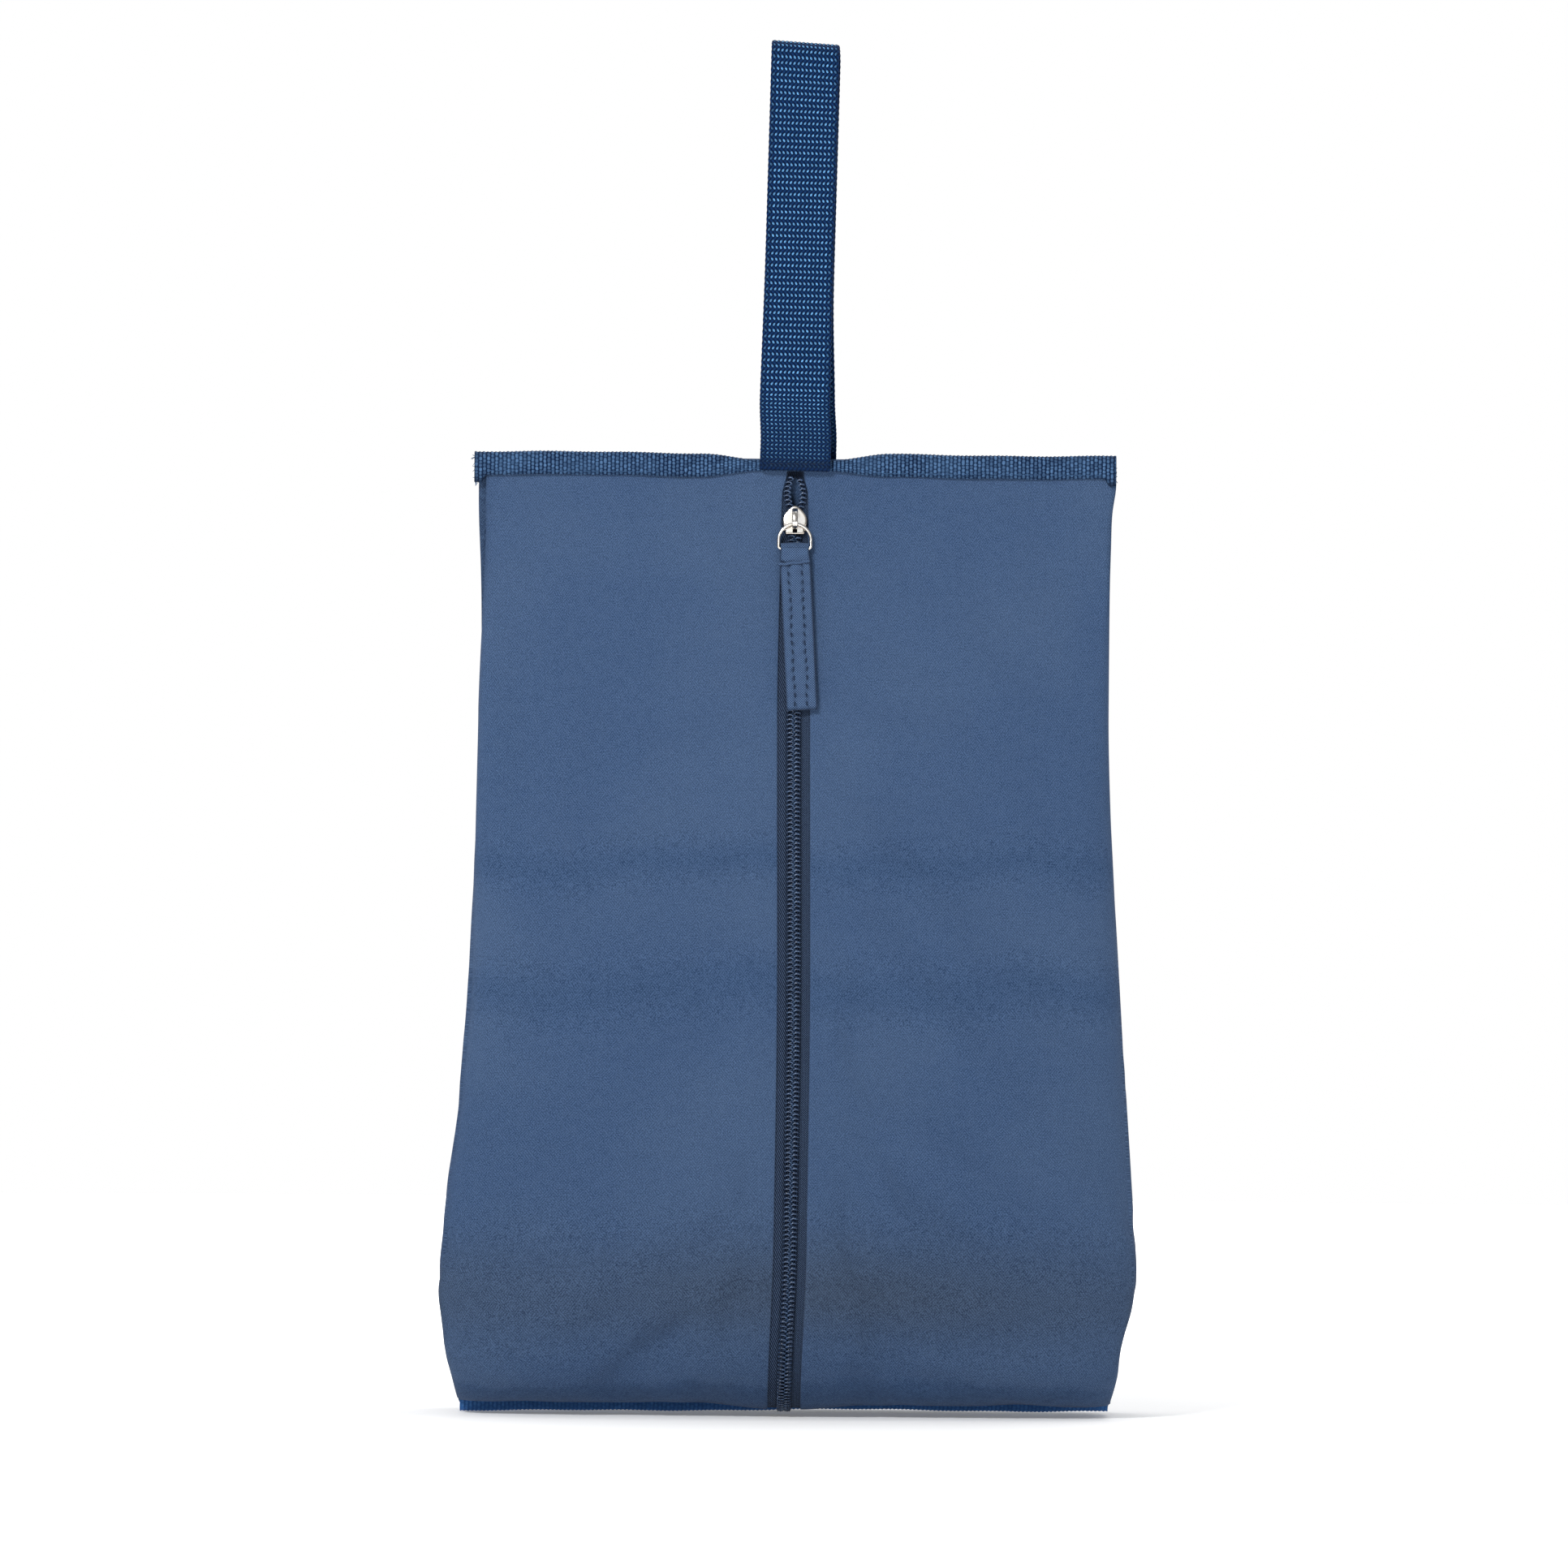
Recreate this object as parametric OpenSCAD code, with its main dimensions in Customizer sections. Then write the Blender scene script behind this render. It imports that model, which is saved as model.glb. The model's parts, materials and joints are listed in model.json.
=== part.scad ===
// Golf shoe bag: a gusseted cloth bag with a zip down its front, bound top and bottom edges,
// and a webbing loop to hang it by. It hangs upright. The origin is the inner top of the loop,
// +Z is up, the zip faces -Y and +X is to the right of someone who faces the zip.

/* [Handle] */
// Width of the webbing strap
strap_w = 25; // [20:0.5:30]
// Thickness of the webbing strap
strap_t = 1.5; // [1:0.1:1.8]
// Length of the loop, from its inner top to the bag's top edge
loop_len = 148; // [110:1:180]
// Inner radius of the fold at the top of the loop
loop_r = 5; // [4.5:0.5:7]
// Sideways lean of the loop, in degrees
loop_lean = 1.25; // [0:0.05:2]

/* [Bag] */
// Width of the cloth at the top edge
top_w = 228.5; // [200:0.5:250]
// Extra width where the bag is fullest
belly_extra = 24; // [10:1:30]
// Height from the top edge of the top binding to the lower edge of the bottom binding
bag_h = 346; // [320:1:380]
// Half of the bag's depth where it is fullest, along the zip
centre_depth = 50; // [42:1:56]
// Half of the bag's depth where it is fullest, at its corners
corner_depth = 36; // [30:1:38]
// Half of the width of one folded side gusset
gusset_half = 50; // [48:0.5:54]
// Thickness of the cloth
cloth_t = 0.7; // [0.5:0.05:0.75]

/* [Bindings] */
// Height of the folded tape that binds the top edge
binding_h = 8; // [6:0.5:10]
// Thickness of the binding tape
binding_t = 1.1; // [0.8:0.1:1.2]
// How far the top binding runs past the cloth on each side
binding_over = 2.2; // [0.5:0.1:4]

/* [Zip] */
// Opening between the cloth edges at the top of the zip
gap_top = 9.4; // [9:0.1:11]
// Opening between the cloth edges at the foot of the zip
gap_foot = 12; // [9:0.1:14]
// Width of one zip tape
tape_w = 12; // [10:0.5:14]
// Thickness of the zip tape
tape_t = 0.5; // [0.3:0.05:0.5]
// Width across both rows of the coil
coil_w = 5.4; // [4.8:0.1:5.8]
// Height of the coil above the tape
coil_h = 1.3; // [1:0.05:1.35]
// Distance of the slider's middle below the top binding, along the zip
slider_at = 16; // [14:0.5:20]

/* [Slider and pull] */
// Width of the slider
slider_w = 8.7; // [8:0.1:9]
// Length of the slider
slider_l = 10.6; // [10:0.1:12]
// Thickness of each of the slider's plates
plate_t = 0.9; // [0.6:0.05:1]
// Width of the bail over the slider
bail_w = 2; // [1.5:0.1:2.4]
// Radius of the ring's wire
wire_r = 0.55; // [0.45:0.05:0.6]
// Width of the ring, middle of wire to middle of wire
ring_w = 11.7; // [11.5:0.1:13]
// Height of the ring, middle of wire to middle of wire
ring_h = 9.1; // [8.5:0.1:10]
// Length of the cloth pull tab
tab_l = 58; // [40:1:62]
// Width of the cloth pull tab
tab_w = 11.2; // [9:0.1:12]
// Thickness of the cloth pull tab
tab_t = 1.8; // [1.4:0.1:2]
// Sideways lean of the pull tab, in degrees
tab_lean = 3; // [0:0.5:6]

/* [Hidden] */
$fn = 48;
CLOTH_BLUE = [0.27, 0.37, 0.51];
STRAP_BLUE = [0.13, 0.27, 0.44];
TAPE_NAVY = [0.17, 0.22, 0.32];
COIL_NAVY = [0.20, 0.27, 0.36];
TAB_BLUE = [0.29, 0.37, 0.50];
THREAD_NAVY = [0.10, 0.15, 0.25];
NICKEL = [0.78, 0.76, 0.73];

// Heights. The bag hangs plumb, and the loop leans over its middle.
bag_x = -loop_len * sin(loop_lean);
top_z = -loop_len * cos(loop_lean);
bottom_z = top_z - bag_h;
hem_z = top_z - binding_h;
belly_z = top_z - 294;
seam_z = bottom_z + 9.5;

// Layers of cloth in the bindings, from the middle outwards: gusset, then front or back panel.
layer_gap = 0.1;
gusset_y = (layer_gap + cloth_t) / 2;
panel_y = gusset_y + cloth_t + layer_gap;
binding_y = panel_y + cloth_t / 2 + layer_gap;
binding_out = binding_y + binding_t;

// How far the cloth's edge stays inside the round fold of a binding.
cloth_edge = binding_out - sqrt(binding_y * binding_y - pow(panel_y + cloth_t / 2, 2)) + layer_gap;

// The slope of the cloth along the zip, and offsets from the middle of the cloth along it.
// In the zip's own frame -Y is outwards, and -Z is down along the zip.
zip_slope = atan((centre_depth - panel_y) / (hem_z - belly_z));
tape_out = cloth_t / 2 + layer_gap;
tape_in = tape_out + tape_t;
coil_gap = 1;
run_gap = 0.3;
plate_in = tape_out - coil_h - run_gap;
plate_out = plate_in - plate_t;
ring_y = plate_out - run_gap - wire_r;

// The bail is an arch whose middle lies below the front plate's face.
arch_sink = 0.9;
arch_r = 3.5;
arch_t = 0.8;
ring_drop = 2;
ring_s = slider_at + ring_drop;
bar_s = ring_s + ring_h;

// The hinge of the handle runs through the top edge of the bag, and the strap bends round it.
end_in = binding_out + layer_gap;
end_out = end_in + 2 * strap_t;
thread_r = 0.2;
thread_lift = thread_r + 0.02;
loop_foot = end_out + thread_lift + thread_r + run_gap;

// Rows of the cloth grids down the bag: in the top binding, down the slope, round the belly,
// and in the bottom binding.
SLOPE_ROWS = 9;
BELLY_ROWS = 12;
ROWS = concat([0], [for (i = [0:SLOPE_ROWS]) 1 + i / SLOPE_ROWS],
              [for (i = [1:BELLY_ROWS]) 2 + i / BELLY_ROWS], [4]);
ACROSS_HALF = [0, 0.15, 0.3, 0.45, 0.6, 0.75, 0.9, 1];
ACROSS_BACK = [-1, -0.9, -0.7, -0.5, -0.25, 0, 0.25, 0.5, 0.7, 0.9, 1];
TIP = 0.02;
ACROSS_GUSSET = [-1, -0.65, -0.3, -TIP, 0, TIP, 0.3, 0.65, 1];

function mix(a, b, k) = a + (b - a) * k;
function bezier(p, k) = pow(1 - k, 3) * p[0] + 3 * pow(1 - k, 2) * k * p[1]
                        + 3 * (1 - k) * k * k * p[2] + pow(k, 3) * p[3];
function soft_min(a, b, r) = let (h = max(r - abs(a - b), 0)) min(a, b) - h * h / (4 * r);

// How full the bag is and how high it lies, at row v. The straight slope runs on into the belly,
// which hangs a little below the bottom seam before it turns up to it.
belly_lead = 28;
BELLY = [[1, belly_z], [1 + belly_lead / (hem_z - belly_z), belly_z - belly_lead],
         [0.8, seam_z - 21.5], [0, seam_z]];
function fullness(v) =
    v <= 1 ? [0, mix(top_z - cloth_edge, hem_z, v)] :
    v <= 2 ? [v - 1, mix(hem_z, belly_z, v - 1)] :
    v <= 3 ? bezier(BELLY, v - 2) :
    [0, mix(seam_z, bottom_z + cloth_edge, v - 3)];

// Half of the bag's width at a height: it swells towards the belly and tapers below it.
function half_width(z) =
    let (below = max(top_z - z, 0))
    soft_min(top_w / 2 + belly_extra / 2 * pow(max(below - 95, 0) / 201, 1.5),
             top_w / 2 + 3.35 + 0.2 * (bag_h - below), 4);

function zip_gap(z) = mix(gap_top, gap_foot, (hem_z - z) / (hem_z - bottom_z));

// Half of the depth across the bag, at u from 0 at the zip, where the cloth is flat, to 1.
zip_flat = 0.12;
function depth_at(u) =
    let (side = (min(max(abs(u), zip_flat), 1) - zip_flat) / (1 - zip_flat))
    mix(corner_depth, centre_depth, 1 - pow(side, 2.2));

// Middle of the front panel (side -1) or the back panel (side 1): u is -1 at the left corner and
// 1 at the right corner.
function panel_mid(side, u, v) =
    let (f = fullness(v))
    [bag_x + u * half_width(f[1]), side * (panel_y + (depth_at(u) - panel_y) * f[0]), f[1]];

// Middle of one half of the front: k is 0 at the zip and 1 at the corner.
function front_mid(hand, k, v) =
    let (z = fullness(v)[1], zip_u = zip_gap(z) / 2 / half_width(z))
    panel_mid(-1, hand * mix(zip_u, 1, k), v);

// The gusset's edge in Y and Z, just inside the corner of the front and back panels. It leaves
// the bottom binding a little above them.
gusset_lift = 1.5;
function corner_line(v) = let (f = fullness(v)) [panel_y + (corner_depth - panel_y) * f[0], f[1]];
function gusset_edge(v) =
    v <= 1 ? [gusset_y, fullness(v)[1]] :
    v >= 3 ? [gusset_y, mix(seam_z + gusset_lift, bottom_z + cloth_edge, v - 3)] :
    let (a = corner_line(v - 0.01), b = corner_line(min(v + 0.01, 3)), along = (b - a) / norm(b - a))
    corner_line(v) + (cloth_t + layer_gap) * [along[1], -along[0]];

// Middle of a side gusset, which folds inwards: k is -1 at the front corner, 0 at the crease and
// 1 at the back corner. Round the belly its corners hang low and its crease stays high.
function gusset_mid(hand, k, v) =
    let (edge = gusset_edge(v),
         half = half_width(fullness(v)[1]),
         leaf = gusset_half - (half - top_w / 2),
         inset = sqrt(max(leaf * leaf - edge[0] * edge[0], 1)),
         out = max(abs(k), TIP),
         y = mix(gusset_y, edge[0], (out - TIP) / (1 - TIP)),
         crease_z = v <= 1 || v >= 3 ? edge[1] :
                    v <= 2 ? fullness(v)[1] : mix(belly_z, seam_z + gusset_lift, v - 2))
    [bag_x + hand * (half - 0.2 - inset * (1 - abs(k))),
     y * (abs(k) < TIP ? k / TIP : sign(k)),
     mix(crease_z, edge[1], pow(abs(k), 1.5))];

function normal_at(mid, k, v) =
    let (e = 0.002,
         across = mid(k + e, v) - mid(k - e, v),
         down = mid(k, v + e) - mid(k, v - e),
         n = cross(across, down))
    n / norm(n);

// A closed sheet of thickness t about a middle surface, on a grid of across and down values.
module sheet(mid, across, down, t) {
    n = len(across);
    m = len(down);
    outer = [for (v = down) for (k = across) mid(k, v) + normal_at(mid, k, v) * t / 2];
    inner = [for (v = down) for (k = across) mid(k, v) - normal_at(mid, k, v) * t / 2];
    last = n * m;
    quads = concat(
        [for (j = [0:m - 2]) for (i = [0:n - 2])
            [j * n + i, (j + 1) * n + i, (j + 1) * n + i + 1, j * n + i + 1]],
        [for (j = [0:m - 2]) for (i = [0:n - 2])
            [last + j * n + i, last + j * n + i + 1, last + (j + 1) * n + i + 1, last + (j + 1) * n + i]],
        [for (j = [0:m - 2]) for (i = [0, n - 1])
            i == 0 ? [j * n, last + j * n, last + (j + 1) * n, (j + 1) * n]
                   : [j * n + i, (j + 1) * n + i, last + (j + 1) * n + i, last + j * n + i]],
        [for (i = [0:n - 2]) for (j = [0, m - 1])
            j == 0 ? [i, i + 1, last + i + 1, last + i]
                   : [j * n + i, last + j * n + i, last + j * n + i + 1, j * n + i + 1]]);
    polyhedron(concat(outer, inner),
               [for (q = quads) for (f = [[q[0], q[1], q[2]], [q[0], q[2], q[3]]]) f]);
}

module front_panel(hand) {
    color(CLOTH_BLUE)
        sheet(function (k, v) front_mid(hand, k, v), ACROSS_HALF, ROWS, cloth_t);
}

module front_panel_left() {
    front_panel(-1);
}

module front_panel_right() {
    front_panel(1);
}

module back_panel() {
    color(CLOTH_BLUE)
        sheet(function (k, v) panel_mid(1, k, v), ACROSS_BACK, ROWS, cloth_t);
}

module gusset(hand) {
    color(CLOTH_BLUE)
        sheet(function (k, v) gusset_mid(hand, k, v), ACROSS_GUSSET, ROWS, cloth_t);
}

module gusset_left() {
    gusset(-1);
}

module gusset_right() {
    gusset(1);
}

// A tape folded in half over an edge: a U in section, with its fold at height 0 and a round back.
module folded_tape(length, height) {
    rotate([90, 0, 90])
        translate([0, 0, -length / 2])
        linear_extrude(length)
        difference() {
            union() {
                translate([0, -binding_out])
                    circle(binding_out);
                translate([-binding_out, -height])
                    square([2 * binding_out, height - binding_out]);
            }
            translate([0, -binding_out])
                circle(binding_y);
            translate([-binding_y, -height - 1])
                square([2 * binding_y, height - binding_out + 1]);
        }
}

module top_binding() {
    color(STRAP_BLUE)
        translate([bag_x, 0, top_z])
        folded_tape(top_w + 2 * binding_over, binding_h);
}

module bottom_binding() {
    color(STRAP_BLUE)
        translate([bag_x, 0, bottom_z])
        rotate([180, 0, 0])
        folded_tape(2 * half_width(bottom_z), 7.6);
}

// The loop is drawn upright on the middle of the bag's top edge, then leans over it.
module on_bag_top() {
    translate([bag_x, 0, top_z])
        rotate([0, loop_lean, 0])
        children();
}

// One leg of the loop, from the fold at the top to where it bends over the bag's edge.
module loop_leg(side) {
    fold_z = loop_len - loop_r;
    rotate([90, 0, 90])
        translate([0, 0, -strap_w / 2])
        linear_extrude(strap_w)
        polygon([[side * loop_r, fold_z],
                 [side * (loop_r + strap_t), fold_z],
                 [side * end_out, loop_foot],
                 [side * (end_out - strap_t), loop_foot]]);
}

module handle_loop() {
    color(STRAP_BLUE)
        on_bag_top()
        union() {
            translate([-strap_w / 2, 0, loop_len - loop_r])
                rotate([90, 0, 90])
                rotate_extrude(angle = 180)
                translate([loop_r, 0])
                square([strap_t, strap_w]);
            loop_leg(-1);
            loop_leg(1);
        }
}

// A sewn end of the strap on the binding, with its cut end turned under it.
module handle_end(side) {
    end_l = 3.4;
    color(STRAP_BLUE)
        translate([bag_x - strap_w / 2, side * (end_in + strap_t), top_z - 0.9])
        rotate([90, 0, 90])
        linear_extrude(strap_w)
        union() {
            translate([-strap_t, -end_l])
                square([2 * strap_t, end_l]);
            translate([0, -end_l])
                circle(strap_t);
        }
}

module handle_end_front() {
    handle_end(-1);
}

module handle_end_rear() {
    handle_end(1);
}

// Points of the zip's centre line, in Y and Z, at a distance inwards from the cloth's middle.
ZIP_ROWS = concat([1, 2], [for (i = [1:BELLY_ROWS - 1]) 2 + i / BELLY_ROWS]);
function zip_line(in_by, rows) =
    [for (v = rows)
        let (p = panel_mid(-1, 0, v),
             q = panel_mid(-1, 0, v + 0.002),
             o = panel_mid(-1, 0, v - (v == 1 ? 0 : 0.002)),
             along = (q - o) / norm(q - o))
        [p[1] - along[2] * in_by, p[2] + along[1] * in_by]];
function reversed(list) = [for (i = [len(list) - 1:-1:0]) list[i]];

// A strip along the zip from x_in to x_out, between two distances inwards from the cloth's middle.
module zip_strip(x_in, x_out, out_by, in_by, top_rows) {
    translate([bag_x + min(x_in, x_out), 0, 0])
        rotate([90, 0, 90])
        linear_extrude(abs(x_out - x_in))
        polygon(concat(top_rows ? [[-panel_y + out_by, top_z - cloth_edge]] : [],
                       zip_line(out_by, ZIP_ROWS),
                       reversed(zip_line(in_by, ZIP_ROWS)),
                       top_rows ? [[-panel_y + in_by, top_z - cloth_edge]] : []));
}

module zip_tape(hand) {
    color(TAPE_NAVY)
        zip_strip(hand * coil_gap / 2, hand * tape_w, tape_out, tape_in, true);
}

module zip_tape_left() {
    zip_tape(-1);
}

module zip_tape_right() {
    zip_tape(1);
}

module zip_coil(hand) {
    color(COIL_NAVY)
        zip_strip(hand * coil_gap / 2, hand * coil_w / 2, tape_out - coil_h, tape_out, false);
}

module zip_coil_left() {
    zip_coil(-1);
}

module zip_coil_right() {
    zip_coil(1);
}

// Places children at a distance down the zip, in the zip's own frame.
module on_zip(s) {
    translate([bag_x, -panel_y, hem_z])
        rotate([-zip_slope, 0, 0])
        translate([0, 0, -s])
        children();
}

// Stands a flat outline up in the zip's frame, its thickness from y_out inwards to y_in.
module upright(y_out, y_in) {
    translate([0, y_in, 0])
        rotate([90, 0, 0])
        linear_extrude(y_in - y_out)
        children();
}

module shield(width, height) {
    r = width / 2;
    translate([0, height / 2 - r])
        circle(r);
    polygon([[-r * 0.97, 0], [r * 0.97, 0], [r * 0.79, -height / 2], [-r * 0.79, -height / 2]]);
}

module slider_body() {
    flange_in = coil_w / 2 + run_gap;
    flange_out = gap_top / 2 - run_gap;
    flange_l = slider_l * 0.72;
    back_in = tape_in + run_gap;
    color(NICKEL)
        on_zip(slider_at)
        union() {
            upright(plate_out, plate_in)
                shield(slider_w, slider_l);
            upright(back_in, back_in + plate_t)
                shield(slider_w - 1, slider_l);
            for (hand = [-1, 1])
                translate([hand * (flange_in + flange_out) / 2, 0, 0])
                upright(plate_in - 0.05, tape_out - run_gap)
                    square([flange_out - flange_in, flange_l], center = true);
            // The post that parts the two rows of the coil
            translate([0, 0, slider_l / 2 - 2])
                upright(plate_in - 0.05, back_in + 0.05)
                square([coil_gap - 2 * run_gap, 2.4], center = true);
        }
}

module slider_bail() {
    span = sqrt(pow(arch_r + arch_t, 2) - arch_sink * arch_sink);
    color(NICKEL)
        on_zip(slider_at)
        translate([-bail_w / 2, plate_out, 0])
        rotate([90, 0, 90])
        linear_extrude(bail_w)
        intersection() {
            difference() {
                translate([arch_sink, 0])
                    circle(arch_r + arch_t);
                translate([arch_sink, 0])
                    circle(arch_r);
            }
            translate([-arch_r - arch_t, -span])
                square([arch_r + arch_t, 2 * span]);
        }
}

// The ring is a half circle over two short legs, closed by a straight bar.
module pull_ring() {
    r = ring_w / 2;
    leg = ring_h - r;
    color(NICKEL)
        on_zip(ring_s)
        translate([0, ring_y, -r])
        union() {
            rotate([90, 0, 0])
                rotate_extrude(angle = 180)
                translate([r, 0])
                circle(wire_r);
            for (hand = [-1, 1]) {
                translate([hand * r, 0, -leg])
                    cylinder(h = leg, r = wire_r);
                translate([hand * r, 0, -leg])
                    sphere(wire_r);
            }
            translate([-r, 0, -leg])
                rotate([0, 90, 0])
                cylinder(h = ring_w, r = wire_r);
        }
}

// The tab is a doubled strip of cloth whose top is looped round the ring's bar.
module pull_tab() {
    bore_r = wire_r + 0.2;
    loop_w = ring_w - 2 * wire_r - 0.6;
    color(TAB_BLUE)
        on_zip(bar_s)
        translate([0, ring_y, 0])
        difference() {
            union() {
                rotate([0, 90, 0])
                    cylinder(h = loop_w, r = bore_r + 0.75, center = true);
                translate([-loop_w / 2, -tab_t / 2, -5])
                    cube([loop_w, tab_t, 5]);
                rotate([0, -tab_lean, 0])
                    translate([-tab_w / 2, -tab_t / 2, -tab_l])
                    cube([tab_w, tab_t, tab_l - 2.5]);
            }
            rotate([0, 90, 0])
                cylinder(h = tab_w * 2, r = bore_r, center = true);
        }
}

// One stitch of thread: a short rod along Z, centred.
module stitch(length) {
    cylinder(h = length, r = thread_r, center = true, $fn = 16);
}

module pull_tab_stitching() {
    pitch = 3.4;
    first = 9;
    color(THREAD_NAVY)
        on_zip(bar_s)
        translate([0, ring_y, 0])
        rotate([0, -tab_lean, 0])
        for (x = [-tab_w * 0.22, tab_w * 0.2])
            for (s = [first:pitch:tab_l - 3])
                translate([x, -tab_t / 2 - thread_lift, -s])
                stitch(2.4);
}

// Rows of stitches along a binding, on its front and back faces.
module binding_stitching(length, z) {
    pitch = 3.2;
    count = floor(length / pitch / 2);
    color(THREAD_NAVY)
        for (side = [-1, 1])
            for (i = [-count:count])
                if (z < belly_z || abs(i * pitch) > strap_w / 2 + 1)
                    translate([bag_x + i * pitch, side * (binding_out + thread_lift), z])
                    rotate([0, 90, 0])
                    stitch(2.3);
}

module top_binding_stitching() {
    binding_stitching(top_w - 4, hem_z + 1.4);
}

module bottom_binding_stitching() {
    binding_stitching(2 * half_width(bottom_z) - 6, bottom_z + 5.6);
}

// Rows of stitches that hold the handle's ends to the binding.
module handle_stitching() {
    pitch = 3;
    count = 3;
    color(THREAD_NAVY)
        for (side = [-1, 1])
            for (i = [-count:count])
                translate([bag_x + i * pitch, side * (end_out + thread_lift), top_z - 3.2])
                rotate([0, 90, 0])
                stitch(2.1);
}

handle_loop();
handle_end_front();
handle_end_rear();
handle_stitching();
front_panel_left();
front_panel_right();
back_panel();
gusset_left();
gusset_right();
top_binding();
top_binding_stitching();
bottom_binding();
bottom_binding_stitching();
zip_tape_left();
zip_tape_right();
zip_coil_left();
zip_coil_right();
slider_body();
slider_bail();
pull_ring();
pull_tab();
pull_tab_stitching();
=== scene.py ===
import json
import math

import bmesh
import bpy
import numpy as np
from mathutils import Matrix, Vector


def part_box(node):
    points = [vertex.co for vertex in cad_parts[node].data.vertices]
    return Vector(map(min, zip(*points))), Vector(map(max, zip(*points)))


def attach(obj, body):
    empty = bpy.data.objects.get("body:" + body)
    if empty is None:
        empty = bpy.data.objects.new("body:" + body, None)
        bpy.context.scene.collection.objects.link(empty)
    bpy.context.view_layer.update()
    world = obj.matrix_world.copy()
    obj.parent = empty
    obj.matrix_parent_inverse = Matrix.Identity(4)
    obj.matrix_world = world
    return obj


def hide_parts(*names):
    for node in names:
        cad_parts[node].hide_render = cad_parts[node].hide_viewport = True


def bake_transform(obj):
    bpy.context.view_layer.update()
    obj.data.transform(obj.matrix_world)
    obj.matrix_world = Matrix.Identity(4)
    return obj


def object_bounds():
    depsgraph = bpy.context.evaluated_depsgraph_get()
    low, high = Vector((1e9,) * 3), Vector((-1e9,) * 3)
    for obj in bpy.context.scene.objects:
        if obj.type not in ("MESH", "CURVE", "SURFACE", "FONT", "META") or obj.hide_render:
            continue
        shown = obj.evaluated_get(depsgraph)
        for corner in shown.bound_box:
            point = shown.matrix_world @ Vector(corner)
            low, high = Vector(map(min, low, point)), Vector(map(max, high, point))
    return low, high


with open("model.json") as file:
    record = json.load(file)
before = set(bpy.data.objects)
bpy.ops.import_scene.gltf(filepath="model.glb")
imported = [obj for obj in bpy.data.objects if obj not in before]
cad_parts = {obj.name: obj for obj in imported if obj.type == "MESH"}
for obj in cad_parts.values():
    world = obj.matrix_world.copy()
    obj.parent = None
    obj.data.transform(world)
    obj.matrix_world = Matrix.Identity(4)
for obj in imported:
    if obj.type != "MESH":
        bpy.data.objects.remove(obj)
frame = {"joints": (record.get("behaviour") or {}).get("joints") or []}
cad_box = [list(corner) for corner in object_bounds()]

MM = 0.001
rng = np.random.default_rng(7)

# ---------------------------------------------------------------- driving sizes, in millimetres


def span(node):
    """A CAD node's lowest and highest corners, in millimetres."""
    low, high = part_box(node)
    return np.array(low) / MM, np.array(high) / MM


def half_length(node):
    low, high = span(node)
    return (high[0] - low[0]) / 2


def joint(name):
    return next(j for j in frame["joints"] if j["name"] == name)


TOP_BINDING = span("top_binding")
BAG_X = (TOP_BINDING[0][0] + TOP_BINDING[1][0]) / 2
TOP_Z = TOP_BINDING[1][2]
HEM_Z = TOP_BINDING[0][2]
BINDING_OUT = TOP_BINDING[1][1]
BOTTOM_Z = span("bottom_binding")[0][2]
HEM_H = TOP_Z - HEM_Z
CLOTH_T = 0.5
# Half of the width at the top edge, and how much wider each side is at the belly
TOP_HALF = 114.25
BELLY_EXTRA = 12
# From the bag's middle plane out to the cloth: inside the top binding, and at the belly
PANEL_Y = 1.2
GUSSET_Y = 0.4
CENTRE_DEPTH = 50
CORNER_DEPTH = 36
GUSSET_HALF = 50
BELLY_Z = TOP_Z - 294
SEAM_Z = BOTTOM_Z + 9.5
# How high the turn of the cloth, darkened with painted shade, is above the bag's lower edge
TURN_HEIGHT = 10.5
# The zip keeps a flat strip beside it and droops under the belly
ZIP_DROOP = 2.4
ZIP_FLAT = 0.12
GUSSET_LIFT = 1.5
EDGE_ROLL = 0.55
FRONT_INSET = 2.6
# Width of cloth turned under beside the zip
TURNED_UNDER = 5.0
STRAP_W = 25.0
STRAP_T = 1.5
# The bindings' tape, the top one's whole length, and how far its cut ends hang down
TAPE_T = 1.1
TOP_TAPE = 233
TAPE_HANG = 2.6
# The strap and the stitches sit this far out from a binding's face
CLEARANCE = 0.15
ZIP_TAPE_W = 11.5
# The zip tape starts this far above the hem
TAPE_ABOVE = 5.5
# Where the right zip tape's places across begin in its weave
RIGHT_TAPE = 20.0
ZIP_AXIS = np.array(joint("zip_slide")["axis"])
RING_PIN = np.array(joint("ring_lift")["pos_m"]) / MM
TAB_PIN = np.array(joint("tab_lift")["pos_m"]) / MM


def mix(a, b, k):
    return a + (b - a) * k


def smooth(a, b, x):
    """0 before a, 1 after b and a smooth step between."""
    k = np.clip((x - a) / (b - a), 0, 1)
    return k * k * (3 - 2 * k)


def bump(x, centre, width):
    """A soft bell about centre."""
    return np.exp(-(((x - centre) / width) ** 2))


def run_of(points):
    """The distance along a line at each of its points."""
    return np.concatenate([[0], np.cumsum(np.linalg.norm(np.diff(points, axis=0), axis=1))])


def together(*values):
    """Coordinates that broadcast together, as one array of points."""
    return np.stack(np.broadcast_arrays(*values), -1).astype(float)


# ---------------------------------------------------------------- the bag's shape


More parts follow.
